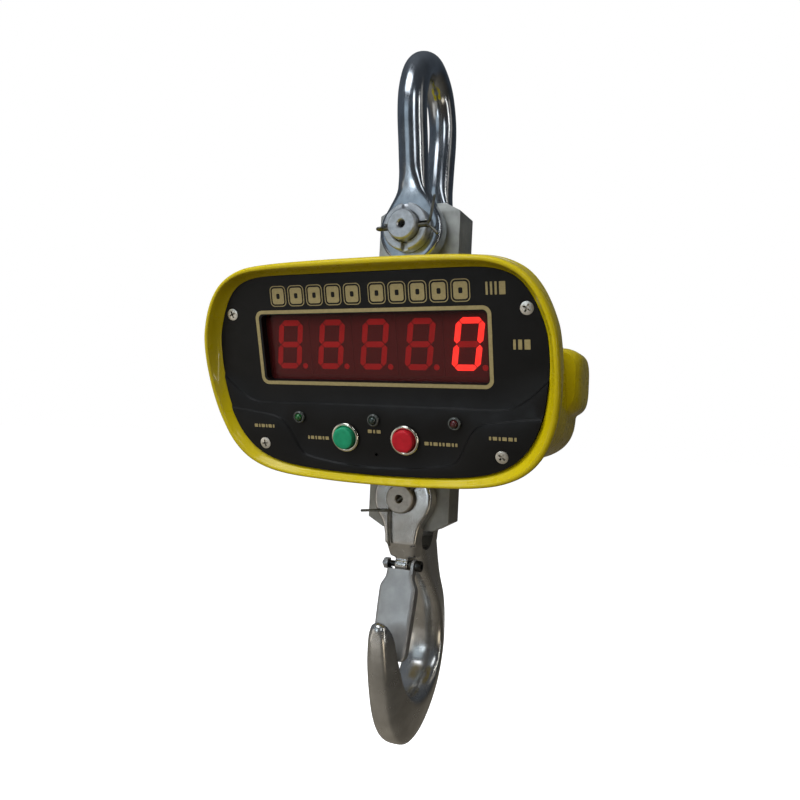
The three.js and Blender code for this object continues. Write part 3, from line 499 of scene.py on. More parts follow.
def make_yellow():
    f = Finish("yellow_paint", Coat_Weight=0.36, Coat_Roughness=0.06, Specular_IOR_Level=0.22)
    base = f.ramp(f.noise(28, 4.0, 0.6), (0.55, 0.425, 0.0010), (0.63, 0.49, 0.0018), 0.25, 0.75)
    dust = f.ramp(f.noise(420, 4.0, 0.7), (0.80, 0.78, 0.74), (1, 1, 1), 0.30, 0.46)
    f.colour(f.multiply(base, dust, 0.35))
    f.roughness(f.noise(160), 0.22, 0.38)
    f.bump((f.noise(320, 2.0, 0.5), 0.25, 0.06), (f.noise(1500, 3.0, 0.6), 0.2, 0.015))
    return f.material


def make_panel_black():
    f = Finish("panel_black", Specular_IOR_Level=0.22)
    f.colour(f.ramp(f.noise(60, 4.0, 0.6), (0.0038, 0.0036, 0.0035), (0.0060, 0.0056, 0.0054)))
    f.roughness(f.noise(240), 0.34, 0.48)
    f.bump((f.noise(3200, 3.0, 0.6), 0.35, 0.025))
    return f.material


def make_lens():
    """Smoked red sheet: clear and tinted, with a little haze and a glossy skin."""
    material = bpy.data.materials.new("smoked_red_lens")
    material.use_nodes = True
    tree = material.node_tree
    tree.nodes.clear()
    out = add_node(tree, "OutputMaterial")
    skin = add_node(tree, "MixShader")
    body = add_node(tree, "MixShader", Fac=0.12)
    clear = add_node(tree, "BsdfTransparent")
    haze = add_node(tree, "BsdfDiffuse", Color=(0.42, 0.09, 0.085, 1))
    gloss = add_node(tree, "BsdfGlossy", Roughness=0.12)
    fresnel = add_node(tree, "Fresnel", IOR=1.3)
    coords = add_node(tree, "TexCoord")
    noise = add_node(tree, "TexNoise", Scale=45)
    tint = add_node(tree, "ValToRGB")
    set_stops(tint, [(0.3, (0.88, 0.38, 0.38)), (0.7, (0.93, 0.42, 0.42))])
    link_all(tree, [
        (coords, "Object", noise, "Vector"), (noise, "Fac", tint, "Fac"), (tint, "Color", clear, "Color"),
        (clear, "BSDF", body, 1), (haze, "BSDF", body, 2), (fresnel, "Fac", skin, "Fac"),
        (body, "Shader", skin, 1), (gloss, "BSDF", skin, 2), (skin, "Shader", out, "Surface")])
    return material


def make_glow(name, dark, light, power):
    """Glowing plastic: an even glow, a little stronger in patches. On the lit segments it is their own light;
    on the unlit segments the glow is painted light.
    """
    f = Finish(name, Roughness=0.4, Emission_Strength=power)
    f.link(f.ramp(f.noise(260, 2.0), dark, light), f.shader.inputs["Emission Color"])
    f.colour(f.ramp(f.noise(900, 2.0), dark, light))
    f.bump((f.noise(1600, 2.0), 0.2, 0.02))
    return f.material


def make_glassy(name, dark, light, transmission=0.35):
    f = Finish(name, Roughness=0.08, IOR=1.5, Transmission_Weight=transmission, Coat_Weight=0.5,
               Coat_Roughness=0.05)
    f.colour(f.ramp(f.noise(500, 2.0), dark, light))
    f.bump((f.noise(1200, 2.0), 0.15, 0.02))
    return f.material


YELLOW = make_yellow()
CHROME = metal("chrome_plate", (0.36, 0.38, 0.405), (0.56, 0.59, 0.63), (0.13, 0.24), 60, 1800, 0.012,
               wave=0.10)
HOOK_CHROME = metal("hook_plate", (0.44, 0.43, 0.41), (0.62, 0.61, 0.59), (0.15, 0.30), 55, 1600,
                    0.016, wave=0.16, metallic=0.9)
ZINC = metal("zinc_plate", (0.38, 0.39, 0.405), (0.56, 0.575, 0.595), (0.30, 0.46), 260, 1400, 0.05,
             metallic=0.85)
PIN_STEEL = metal("pin_steel", (0.36, 0.33, 0.29), (0.50, 0.46, 0.41), (0.38, 0.52), 260, 1500, 0.05,
                  metallic=0.8)
BAR_STEEL = metal("bar_steel", (0.25, 0.255, 0.245), (0.39, 0.40, 0.38), (0.34, 0.50), 70, 1100, 0.05,
                  streak=(1, 1, 0.35), metallic=0.6)
LATCH_STEEL = metal("latch_steel", (0.30, 0.298, 0.29), (0.41, 0.405, 0.395), (0.30, 0.46), 80, 1500, 0.03,
                    streak=(1, 1, 0.4), metallic=0.6)
WIRE_STEEL = metal("cotter_steel", (0.10, 0.10, 0.085), (0.22, 0.21, 0.18), (0.30, 0.5), 200, 2200, 0.03)
DARK_STEEL = metal("dark_steel", (0.03, 0.03, 0.03), (0.09, 0.09, 0.085), (0.30, 0.45), 200, 2200, 0.02)
SCREW_METAL = metal("screw_plate", (0.72, 0.69, 0.62), (0.84, 0.81, 0.75), (0.30, 0.42), 260, 2600, 0.02)
RING_CHROME = metal("ring_chrome", (0.60, 0.56, 0.46), (0.80, 0.78, 0.70), (0.10, 0.2), 300, 2600, 0.01)
PANEL = make_panel_black()
GOLD = plastic("gold_print", (0.33, 0.262, 0.115), (0.42, 0.335, 0.15), (0.42, 0.56), 700, 3000, 0.02,
               Metallic=0.25)
RUBBER = plastic("rubber", (0.010, 0.010, 0.010), (0.018, 0.018, 0.017), (0.6, 0.8), 200, 1500, 0.05)
LENS = make_lens()
HOUSING = plastic("digit_housing", (0.035, 0.028, 0.028), (0.05, 0.042, 0.042), (0.5, 0.65))
# The unlit segments glow faintly: painted light that brightens them behind the lens.
SEGMENT_OFF_PAINTED_GLOW = make_glow("segment_off_painted_glow", (0.74, 0.085, 0.10), (0.82, 0.10, 0.12), 0.115)
SEGMENT_ON = make_glow("segment_on", (1.0, 0.13, 0.085), (1.0, 0.20, 0.14), 1.9)
BOARD = plastic("circuit_board", (0.010, 0.07, 0.022), (0.02, 0.12, 0.04), (0.35, 0.5), 500, 900)
BATTERY = plastic("battery_wrap", (0.02, 0.04, 0.13), (0.03, 0.06, 0.19), (0.3, 0.45), 120, 900)
HOLDER = make_glassy("lamp_holder_clear", (0.05, 0.055, 0.05), (0.09, 0.10, 0.09), 0.2)
LAMP_GREEN = make_glassy("lamp_green", (0.01, 0.11, 0.02), (0.015, 0.17, 0.035))
LAMP_CLEAR = make_glassy("lamp_clear", (0.02, 0.035, 0.03), (0.035, 0.06, 0.05))
LAMP_RED = make_glassy("lamp_red", (0.07, 0.006, 0.008), (0.11, 0.01, 0.012))
CAP_GREEN = plastic("cap_green", (0.010, 0.25, 0.115), (0.016, 0.33, 0.155), (0.32, 0.44), 200, 1600,
                   Specular_IOR_Level=0.3)
CAP_RED = plastic("cap_red", (0.43, 0.008, 0.016), (0.55, 0.012, 0.024), (0.32, 0.44), 200, 1600,
                 Specular_IOR_Level=0.3)

# ---- shackle ----

ROD_R = 9.87
EYE_R = 21.8
EYE_Y = -21.9
EYE_HALF = 6.5
BORE_R = 10.25
SPOT_R = 17.0


def bow_stations():
    """Left half of the bow from the eye's bottom to the apex, each as centre y, centre z,
    half width, half depth and how square the section is."""
    rows = []
    for degrees in (4, 10, 20, 32, 45, 60, 75, 90, 105, 118, 126):
        t = math.radians(degrees)
        z = TOP_PIN_Z - EYE_R * math.cos(t)
        rows.append((EYE_Y, z, EYE_R * math.sin(t), EYE_HALF, 9.0))
    rows += [
        (-21.95, 106.5, 15.1, 6.55, 7.0), (-22.1, 111.5, 12.4, 6.8, 5.0),
        (-22.5, 116.5, 10.5, 7.4, 3.4), (-22.9, 122, 9.9, 8.5, 2.6),
        (-23.2, 128, ROD_R, 9.5, 2.1),
    ]
    round_part = ((-23.9, 134), (-25.9, 149), (-27.9, 162), (-28.5, 172), (-27.9, 180), (-25.4, 189),
                  (-20.6, 198.4), (-12.6, 205.3), (0, 209.4))
    rows += [(y, z, ROD_R, ROD_R, 2.0) for y, z in round_part]
    return np.array(rows)


def shackle_shape():
    half = bow_stations()
    mirror = half[:-1][::-1].copy()
    mirror[:, 0] *= -1
    rows = spline(np.concatenate([half, mirror]), 6)
    rows[:, 0:2] = soften(rows[:, 0:2], 2, closed=False)
    tangent = unit_rows(np.gradient(rows[:, 0:2], axis=0))
    turn = full_turn(64)
    loops = []
    for (y, z, half_x, half_y, power), (ty, tz) in zip(rows, tangent):
        c, s = np.cos(turn), np.sin(turn)
        a = np.sign(c) * np.abs(c) ** (2 / power) * half_x
        b = np.sign(s) * np.abs(s) ** (2 / power) * half_y
        loops.append(np.column_stack([a, y + b * tz, z - b * ty]))
    return loft(loops)


def at_top_pin(shape):
    """A turned shape put on the shackle pin's axis."""
    return swung(along_y(shape, z=TOP_PIN_Z))


def build_shackle():
    cutters = [at_top_pin(rod(BORE_R, -60, 60, 72))]
    cutters += [at_top_pin(flipped(rod(SPOT_R, -60, -28.45, 72), side)) for side in (1, -1)]
    stand_in("shackle_bow", "forging", swung(shackle_shape()), CHROME, "chrome", "shackle", angle=28,
             cut=cutters)

    front, back = -42.8, 28.7
    pin = lathe([
        (0, front + 11), (2.3, front + 11), (2.4, front + 1), (3.2, front), (8.9, front), (9.8, front + 0.9),
        (9.8, back), (14.6, back), (15.5, back + 0.8), (15.5, back + 5.8), (14.2, back + 7), (0, back + 7),
    ], 72)
    y, z = -35, TOP_PIN_Z
    cross = swung(along_x(rod(1.95, -30, 30, 24), y=y, z=z))
    stand_in("shackle_pin", "turned", at_top_pin(pin), ZINC, "zinc", "shackle", cut=[cross])

    y1 = -28.75
    y0 = y1 - 8
    nut = lathe([
        (10.15, y1), (15.0, y1), (15.5, y1 - 0.5), (15.5, y0 + 0.9), (14.7, y0), (11.0, y0),
        (10.15, y0 + 0.8), (10.15, y1)], 80)
    slots = [swung(box(-a, a, y0 - 3, y0 + 3.8, -b + z, b + z)) for a, b in ((30, 2.3), (2.3, 30))]
    stand_in("castle_nut", "slotted", at_top_pin(nut), ZINC, "zinc", "shackle", cut=slots, soft=0.25)

    def at(along, side=0, up=0, back_by=0):
        return (along + side, y + back_by, z + up)

    upper_leg = [(14.5, 0, 0.4), (17.2, 0, 3.2, -0.8), (19.2, 0, 11, -1.9), (20.7, 0, 17.6, -2.4)]
    lower_leg = [(14.5, 0, -0.4), (17.8, 0, -1.9, -1.1), (20.5, 0, -4.2, -1.9), (23.2, 0, -6.8, -2.3)]
    wire = swung(split_pin(at, (-16.6, -5, 5, 15.5), 1.55, (-17.8, 2.0, 1.8, 32), 1.05,
                           (upper_leg, lower_leg), 0.92))
    stand_in("shackle_cotter", "wire", wire, WIRE_STEEL, "steel", "shackle", angle=50)


# ---- load cell ----

LOW_BORE_R = 9.85


def build_load_cell():
    w, half_thick, top, bottom, cut_x, cut_z = 29, 13, 110, -108, 11, 6
    tongue_half, tongue_top = 9.5, -58
    pocket_r, pocket_y = 17, 8
    bolt_hole_r, bolt_z = 3.4, 30
    outline = [(-w + cut_x, bottom), (w - cut_x, bottom), (w, bottom + cut_z), (w, top - cut_z),
               (w - cut_x, top), (-w + cut_x, top), (-w, top - cut_z), (-w, bottom + cut_z)]
    cutters = [along_y(rod(BORE_R, -40, 40, 64), z=TOP_PIN_Z),
               along_y(rod(LOW_BORE_R, -40, 40, 64), z=LOW_PIN_Z)]
    for side in (1, -1):
        y0, y1 = sorted((side * tongue_half, side * 40))
        tongue = box(-60, 60, y0, y1, -200, tongue_top)
        pocket = along_y(flipped(rod(pocket_r, pocket_y, 40, 48), side))
        bolt_hole = along_y(rod(bolt_hole_r, -40, 40, 24), z=side * bolt_z)
        cutters += [tongue, pocket, bolt_hole]
    stand_in("load_cell", "bar", upright(prism(outline, -half_thick, half_thick)), BAR_STEEL, "steel",
             cut=cutters, soft=0.6)


# ---- case ----

# Right half of the front rim and of the panel's edge: rim x, rim w, panel x, panel w.
RIM = np.array([
    (0, -84.4, 0, -78.9), (22, -84.2, 21, -78.6), (40, -83.4, 37, -77.9),
    (57, -82.4, 52.5, -76.7), (70, -80.6, 64, -75), (79.4, -78.2, 72.5, -72.9),
    (88.6, -74.2, 80.5, -69.6), (95.9, -68.8, 87.2, -65.2), (101.9, -61.8, 93.2, -58.8),
    (106.3, -53.5, 98, -51.2), (110.5, -42, 102.4, -40), (112.8, -28, 105, -27),
    (113.4, -12, 106.5, -12), (112.7, 5, 105.9, 4), (110.5, 15, 103.6, 13.8),
    (107, 24.6, 100.0, 22.9), (102.1, 33.1, 95.5, 31.0), (95.5, 40.3, 88.9, 37.7),
    (86.8, 45.6, 80.2, 41.5), (77, 48.9, 70.6, 43.1), (64, 50.3, 60, 43.5),
    (50, 51, 47, 43.6), (30, 51.4, 29, 43.6), (0, 51.6, 0, 43.6),
])
RIM_WIDE, RIM_UP, RIM_DOWN = 113.4, 51.6, 84.4
WALL = 3.0
REAR_Y = 46.0
PARTING = 0.175


def rim_line(columns):
    right = RIM[:, columns]
    left = right[1:-1][::-1] * (-1, 1)
    return soften(spline(np.concatenate([right, left]), 6, closed=True), 4)


RIM_EDGE = rim_line([0, 1])
PANEL_EDGE = rim_line([2, 3])


def rim_share(share):
    return RIM_EDGE + (PANEL_EDGE - RIM_EDGE) * share


def rim_loop(share, depth):
    p = rim_share(share)
    return panel_points(at_level(p, -depth))


def front_loop(share, back):
    p = rim_share(share)
    proud = 5.5 + 4.0 * smoothstep((p[:, 1] + 52) / 56)
    return panel_points(np.column_stack([p, proud - back]))


def section(a, up, down, mid, n_up, n_down, taper):
    """Superellipse outline with one point for each of the rim's."""
    x = RIM_EDGE[:, 0] / RIM_WIDE
    w = np.where(RIM_EDGE[:, 1] > 0, RIM_EDGE[:, 1] / RIM_UP, RIM_EDGE[:, 1] / RIM_DOWN)
    power = np.where(w > 0, n_up, n_down)
    reach = (np.abs(x) ** power + np.abs(w) ** power) ** (-1 / power)
    level = w * reach
    narrow = np.where(level < 0, 1 + taper * level, 1)
    return np.column_stack([a * x * reach * narrow, mid + level * np.where(level > 0, up, down)])


def section_loop(values, inset, y, z=0, tilt=0):
    a, up, down, mid, n_up, n_down, taper = values
    p = section(a - inset, up - inset, down - inset, mid, n_up, n_down, taper)
    return np.column_stack([p[:, 0], y - p[:, 1] * math.sin(tilt), z + p[:, 1] * math.cos(tilt)])


NECK = (101, 45, 73, 2, 3, 3.8, 0.03)
WAIST = (98.5, 46, 65, 0, 2.6, 4, -0.05)
BODY = (99, 50, 57.8, -4, 2.2, 4.2, -0.06)
NECK_PLACE = (-47, 2, TILT * 0.6)
WAIST_PLACE = (-22, 0, TILT * 0.25)


def slot_cutters():
    """The load cell's ways in and out of the case."""
    return [prism(round_rect(-31.6, 31.6, -15.4, 15.4, 2.5), 20, 200),
            prism(round_rect(-31.6, 31.6, -11.9, 11.9, 2.5), -200, -50)]


def build_front_case():
    lip = [(0.34, 0), (0.2, 0), (0.13, 0.18), (0.07, 0.6), (0.025, 1.25), (0, 2.2)]
    outer = [front_loop(share, back) for share, back in lip]
    sweep = np.array([front_loop(0, 4.6), rim_loop(0.03, -0.5), rim_loop(0.08, 2), rim_loop(0.4, 12),
                      section_loop(NECK, 0, *NECK_PLACE), section_loop(WAIST, 0, *WAIST_PLACE),
                      section_loop(BODY, 0, -PARTING)])
    outer += list(spline(sweep.reshape(len(sweep), -1), 8).reshape(-1, *sweep.shape[1:]))
    inner = [section_loop(BODY, WALL, -PARTING), section_loop(WAIST, WALL, *WAIST_PLACE),
             section_loop(NECK, WALL, *NECK_PLACE), rim_loop(1.5, 20), rim_loop(1.6, 4.6),
             rim_loop(1, 4.6), rim_loop(1, 0)]
    for share, up in [(0.93, 0.04), (0.62, 0.75), (0.5, 0.93)]:
        low, high = rim_loop(share, 0), front_loop(share, 0.9)
        inner.append(low + (high - low) * up)
    inner += [front_loop(0.455, 0.9), front_loop(0.42, 0.3)]
    shell = loft([*outer, *inner], "ring")
    stand_in("front_case", "casting", shell, YELLOW, "yellow", angle=40, cut=slot_cutters())


def bulge_shape(side):
    """Lobe over the end of the battery bay, as a stack of rounded outlines along X."""
    loops = []
    profile = [(78, 0), (92, 0), (98, 0.3), (102, 1.5), (105, 3.4), (107, 5.8), (107.8, 8.2), (108, 10.5)]
    for x, inset in profile:
        r = max(16.5 - inset * 0.8, 5)
        flat = round_rect(-7 + inset * 1.75, REAR_Y - 0.2 - inset, -29 + inset, 15.6 - inset * 0.9, r, 10)
        loops.append(np.column_stack([np.full(len(flat), side * x), flat[:, 0], flat[:, 1]]))
    return loft(loops)


CASE_SCREWS = ((-70, 27), (70, 27), (-76, -46), (76, -46))
COVER_SCREWS = ((-60, 7), (60, 7))
SOCKET_PLACE = (0, 22, -6)


def build_rear_case():
    outer = [section_loop(BODY, 0, -7), section_loop(BODY, 0, 30)]
    for inset, y in ((0.35, 34.5), (1.5, 39), (2.9, 42), (4.5, 44.2), (6.6, 45.5), (9, REAR_Y)):
        outer.append(section_loop(BODY, inset, y))
    boss = lathe([(0, 25), (6.2, 25), (6.2, 45.4), (5.6, 46.1), (0, 46.1)], 40)
    bosses = [along_y(boss, x, 0, z) for x, z in CASE_SCREWS[:2]]
    shell = mesh_object("rear_case_casting",
                        join_shapes(loft(outer), bulge_shape(1), bulge_shape(-1), *bosses))
    melt(shell, 1.1, 7)
    in_front = box(-200, 200, -60, PARTING, -200, 200)
    hollow = loft([section_loop(BODY, WALL, -30), section_loop(BODY, WALL, 30),
                   section_loop(BODY, 10, REAR_Y - WALL)])
    bay = upright(prism(round_rect(-56, 56, -26, 14, 3), 20, 60))
    holes = [along_y(rod(2.6, 30, 60, 24), x, 0, z) for x, z in (*CASE_SCREWS, *COVER_SCREWS)]
    socket = along_x(rod(6.35, -130, -85), *SOCKET_PLACE)
    boolean(shell, [in_front, hollow, bay, *holes, socket, *slot_cutters()])
    finish_piece(shell, "scale_body", YELLOW, ["rear_case"], 42)


def build_battery_cover():
    front, seat, back = 46.35, 47.55, 49.55
    sunk_hole = lathe([(0, 30), (2.6, 30), (2.6, seat), (5.2, seat), (5.2, 70), (0, 70)], 44)
    cutters = [along_y(sunk_hole, x, 0, z) for x, z in COVER_SCREWS]
    for z in range(-20, 5, 5):
        cutters.append(upright(prism(round_rect(-22, 22, z - 0.8, z + 0.8, 0.79, 6), back - 0.6, 60)))
    plate = prism(round_rect(-67, 67, -31, 19, 8, 12), front, back)
    cover = mesh_object("battery_cover_plate", upright(plate))
    boolean(cover, cutters)
    bevel(cover, 0.7, 3)
    finish_piece(cover, "scale_body", YELLOW, ["battery_cover"])


def build_case_trim():
    for i, (x, z) in enumerate(CASE_SCREWS):
        rear_screw(f"case_screw_{i + 1}", 4.0, 2.2, 12, x, REAR_Y + 0.35, z)
    for name, (x, z) in zip(("left", "right"), COVER_SCREWS):
        rear_screw(f"cover_screw_{name}", 4.5, 1.5, 7, x, REAR_Y + 1.9, z)

    for name, half, z0, z1 in (("top", 13, 36, 47), ("bottom", 9.5, -66, -58.5)):
        collar = prism(round_rect(-31.2, 31.2, -half - 2.1, half + 2.1, 2), z0, z1)
        hole = prism(round_rect(-29.35, 29.35, -half - 0.35, half + 0.35, 0.4, 3), z0 - 9, z1 + 9)
        stand_in(f"slot_seal_{name}", "collar", collar, RUBBER, "rubber", cut=[hole], soft=0.4)

    flange = -108.35
    socket = lathe([(0, flange + 10), (3, flange + 10), (3, flange - 0.6), (3.6, flange - 1.2),
                    (7.9, flange - 1.2), (8.5, flange - 0.7), (8.5, flange), (6, flange), (6, flange + 17.5),
                    (5.5, flange + 18), (0, flange + 18)], 48)
    stand_in("charge_socket", "turned", along_x(socket, *SOCKET_PLACE), ZINC, "steel")
    cap = lathe([(0, flange - 2.95), (6.4, flange - 2.95), (7.3, flange - 2.6), (7.6, flange - 2.1),
                 (7.6, flange - 1.55), (0, flange - 1.55)], 48)
    stand_in("socket_cap", "moulded", along_x(cap, *SOCKET_PLACE), RUBBER, "rubber")


def rear_screw(name, head_r, head, length, x, y, z):
    """Domed cross-head screw pushed in from the back."""
    dome = [(head_r * math.cos(t), head * 0.35 + head * 0.65 * math.sin(t)) for t in quarter_turn(7)]
    body = lathe([(0, -length), (2.0, -length), (2.0, 0), (head_r, 0), *dome, (0, head)], 40)
    cross = [box(x - a, x + a, y + head * 0.45, y + 9, z - b, z + b)
             for a, b in ((head_r * 0.62, 0.55), (0.55, head_r * 0.62))]
    stand_in(name, "turned", along_y(body, x, y, z), SCREW_METAL, "screw", cut=cross)


# ---- front panel ----

STEP = 1.2
UPPER_STEP = [(0, -35.5), (40, -35.6), (74, -35.8), (86, -34.2), (96, -28), (104, -20.5), (112, -13)]
LOWER_STEP = [(0, -74.2), (24, -73), (46, -69.4), (53, -65), (60.5, -51), (68, -44.6), (84, -41.8),
              (104, -39.4), (114, -38.4)]
SCREW_PLACES = ((-94.75, 20.4), (94.75, 20.4), (-78.75, -62.5), (78.75, -62.5))
LAMP_X, LAMP_W = 51.5, -44.3
BUTTON_X, BUTTON_W = 19.8, -55.7
WINDOW = (-73.6, 72.6, -21.4, 19.6)


def step_line(half):
    right = spline(half, 7)
    left = right[1:][::-1] * (-1, 1)
    return np.concatenate([left, right])


STEP_LINES = [step_line(UPPER_STEP), step_line(LOWER_STEP)]


def below_line(points, line):
    """How far each point lies below a step line, in millimetres, negative above it."""
    p = np.asarray(points, float)
    best = np.full(len(p), 1e9)
    sign = np.ones(len(p))
    for a, b in zip(line, line[1:]):
        d = b - a
        t = np.clip(((p - a) @ d) / (d @ d), 0, 1)
        off = p - a - t[:, None] * d
        gap = np.hypot(off[:, 0], off[:, 1])
        side = np.where(d[0] * off[:, 1] - d[1] * off[:, 0] > 0, -1.0, 1.0)
        closer = gap < best
        best = np.where(closer, gap, best)
        sign = np.where(closer, side, sign)
    return best * sign


def panel_height(points):
    """Rounded steps: flat above the upper line, one step up below it, two below the lower."""
    total = np.zeros(len(points))
    for line in STEP_LINES:
        total += STEP * smoothstep((below_line(points, line) + 0.55) / 1.1)
    return total


def inside(points, loop):
    p = np.asarray(points, float)
    result = np.zeros(len(p), bool)
    for a, b in zip(loop, np.roll(loop, -1, 0)):
        crosses = (a[1] > p[:, 1]) != (b[1] > p[:, 1])
        rise = b[1] - a[1] if b[1] != a[1] else 1e-9
        at = a[0] + (p[:, 1] - a[1]) / rise * (b[0] - a[0])
        result ^= crosses & (p[:, 0] < at)
    return result


def panel_sheet():
    edge = rim_share(1.05)
    holes = [round_rect(*WINDOW, 3, 6)]
    holes += [circle(x, LAMP_W, 3.1, 32) for x in (-LAMP_X, 0, LAMP_X)]
    holes += [circle(x, BUTTON_W, 8, 56) for x in (-BUTTON_X, BUTTON_X)]
    holes += [circle(x, w, 3.95, 36) for x, w in SCREW_PLACES]
    holes += [circle(0, -66, 1.0, 16)]
    points, edges = [], []

    def add_loop(loop, closed=True):
        start = len(points)
        points.extend(loop.tolist())
        n = len(loop)
        for i in range(n if closed else n - 1):
            edges.append((start + i, start + (i + 1) % n))

    add_loop(edge)
    for hole in holes:
        add_loop(hole)
    clear = rim_share(1.08)
    for line in STEP_LINES:
        d = np.gradient(line, axis=0)
        normal = np.column_stack([-d[:, 1], d[:, 0]]) / np.hypot(d[:, 0], d[:, 1])[:, None]
        for offset in (-0.56, -0.36, -0.18, 0, 0.18, 0.36, 0.56):
            row = line + normal * offset
            keep = inside(row, clear)
            for hole in holes:
                keep &= ~inside(row, hole)
            run = row[keep]
            if len(run) > 1:
                add_loop(run, closed=False)
    flat = [Vector(p) for p in points]
    verts, _, tris, *_ = delaunay_2d_cdt(flat, edges, [], 0, 1e-5)
    verts = np.array([(v.x, v.y) for v in verts])
    tris = np.array([list(t) for t in tris])
    centre = verts[tris].mean(1)
    keep = inside(centre, edge)
    for hole in holes:
        keep &= ~inside(centre, hole)
    return verts, tris[keep]


def panel_shape():
    """The sheet with its steps on top, a flat back, and walls at its edge and its holes."""
    verts, tris = panel_sheet()
    used = np.unique(tris)
    remap = np.full(len(verts), -1)
    remap[used] = np.arange(len(used))
    verts, tris = verts[used], remap[tris]
    sides = {}
    for t in tris:
        for a, b in ((t[0], t[1]), (t[1], t[2]), (t[2], t[0])):
            sides.setdefault((min(a, b), max(a, b)), []).append((a, b))
    n = len(verts)
    faces = [list(t) for t in tris] + [[a + n, c + n, b + n] for a, b, c in tris]
    for a, b in [uses[0] for uses in sides.values() if len(uses) == 1]:
        faces.append([b, a, a + n, b + n])
    top = np.column_stack([verts, panel_height(verts)])
    return np.concatenate([top, at_level(verts, -3.0)]), faces


def build_panel():
    stand_in("front_panel", "moulding", on_panel(panel_shape()), PANEL, "panel_black", angle=60)
    collar = plate_ring(round_rect(-75.2, 75.2, -23.4, 21.6, 4, 8), round_rect(*WINDOW, 3, 8), -5.2, -3.0)
    piece("window_collar", on_panel(collar), PANEL, "panel_black")
    line = plate_ring(round_rect(-77.4, 75.2, -24.0, 22.4, 5, 10),
                      round_rect(-75.2, 73.0, -21.8, 20.2, 3, 10), -0.02, 0.09)
    piece("window_frame", on_panel(line), GOLD, "panel_black")
    lens = prism(round_rect(-75, 75, -23, 21.2, 3), -7, -5.5)
    stand_in("display_window", "sheet", on_panel(lens), LENS, "lens")


def build_panel_screws():
    seat = lathe([(3.95, -2.0), (2.3, -2.6), (2.3, -2.9), (4.1, -2.9), (4.1, -0.06), (3.95, -0.06),
                  (3.95, -2.0)], 36)
    screw = lathe([(0, -13), (1.4, -13), (1.4, -2.6), (3.55, -0.55), (3.75, -0.3), (3.7, -0.1),
                   (2.6, 0.12), (1.3, 0.2), (0, 0.22)], 40)
    for i, (x, w) in enumerate(SCREW_PLACES):
        place = (x, w, 2 * STEP if w < 0 else 0.0)
        turn = i * 0.7 + 0.35
        c, s = math.cos(turn), math.sin(turn)
        cross = []
        for a, b in ((2.3, 0.55), (0.55, 2.3)):
            slot = placed(box(-a, a, -b, b, -2.3, 2), lambda p, q, h: (p * c - q * s, p * s + q * c, h))
            cross.append(on_panel(slot, *place))
        head = on_panel(screw, *place)
        stand_in(f"panel_screw_{i + 1}", "turned", head, SCREW_METAL, "screw", cut=cross)
        piece(f"screw_seat_{i + 1}", on_panel(seat, *place), PANEL, "panel_black")


# ---- display ----

DIGIT_PITCH = 29.36
DIGIT_FRONT = -7.3
SLANT = math.tan(math.radians(8.74))
DIGIT_HALF_W, DIGIT_HALF_H = 8.985 - 2.1, 15.24
BAR = 3.5


def segment(x0, w0, x1, w1):
    """One bar of a seven segment digit with pointed ends, from centre to centre."""
    a, b = np.array([x0, w0]), np.array([x1, w1])
    d = (b - a) / np.linalg.norm(b - a)
    n = np.array([-d[1], d[0]])
    h = BAR / 2
    gap = 0.32
    a, b = a + d * gap, b - d * gap
    return np.array([a, a + d * h + n * h, b - d * h + n * h, b, b - d * h - n * h, a + d * h - n * h])


def digit_bars():
    x, w = DIGIT_HALF_W, DIGIT_HALF_H - BAR / 2
    return {
        "top": segment(-x, w, x, w), "middle": segment(-x, 0, x, 0), "bottom": segment(-x, -w, x, -w),
        "upper_left": segment(-x, 0, -x, w), "upper_right": segment(x, 0, x, w),
        "lower_left": segment(-x, -w, -x, 0), "lower_right": segment(x, -w, x, 0),
    }


def slanted(outline):
    p = np.asarray(outline, float).copy()
    p[:, 0] += p[:, 1] * SLANT
    return p


def build_display():
    back, front = DIGIT_FRONT - 1.0, DIGIT_FRONT - 0.05
    block = prism(round_rect(-14.45, 14.45, -18.85, 18.05, 0.7, 4), DIGIT_FRONT - 10, DIGIT_FRONT - 0.15)
    for i in range(5):
        x = (i - 2) * DIGIT_PITCH
        stand_in(f"led_digit_{i + 1}", "housing", on_panel(block, x), HOUSING, "digit", soft=0.2)
        lit, dark = [], []
        for name, outline in digit_bars().items():
            shape = prism(slanted(outline), back, front)
            (lit if i == 4 and name != "middle" else dark).append(shape)
        dark.append(prism(circle(9.58, -13.49, 1.75, 28), back, front))
        # The unlit segments take the material with the faint painted glow.
        for shapes, finish, word in ((lit, SEGMENT_ON, "lit"), (dark, SEGMENT_OFF_PAINTED_GLOW, "unlit")):
            if shapes:
                bars = on_panel(join_shapes(*shapes), x)
                piece(f"digit_{i + 1}_segments_{word}", bars, finish, "digit")


# ---- lamps and buttons ----

LOWER_FACE = STEP + 0.35


def build_lamps():
    holder = lathe([(2.65, -4), (3.0, -4), (3.0, 0), (3.9, 0), (3.9, 0.9), (3.75, 1.25), (3.4, 1.6),
                    (3.1, 1.7), (2.75, 1.6), (2.65, 1.3), (2.65, -4)], 48)
    dome = [(2.4 * math.cos(t), 0.9 + 2.3 * math.sin(t)) for t in quarter_turn(9)]
    led = lathe([(0, -6), (2.4, -6), *dome, (0, 3.2)], 40)
    lamps = (("left", -LAMP_X, LAMP_GREEN), ("middle", 0, LAMP_CLEAR), ("right", LAMP_X, LAMP_RED))
    for name, x, finish in lamps:
        place = (x, LAMP_W, LOWER_FACE)
        stand_in(f"lamp_holder_{name}", "moulded", on_panel(holder, *place), HOLDER, "clear")
        stand_in(f"lamp_{name}", "dome", on_panel(led, *place), finish, "clear")


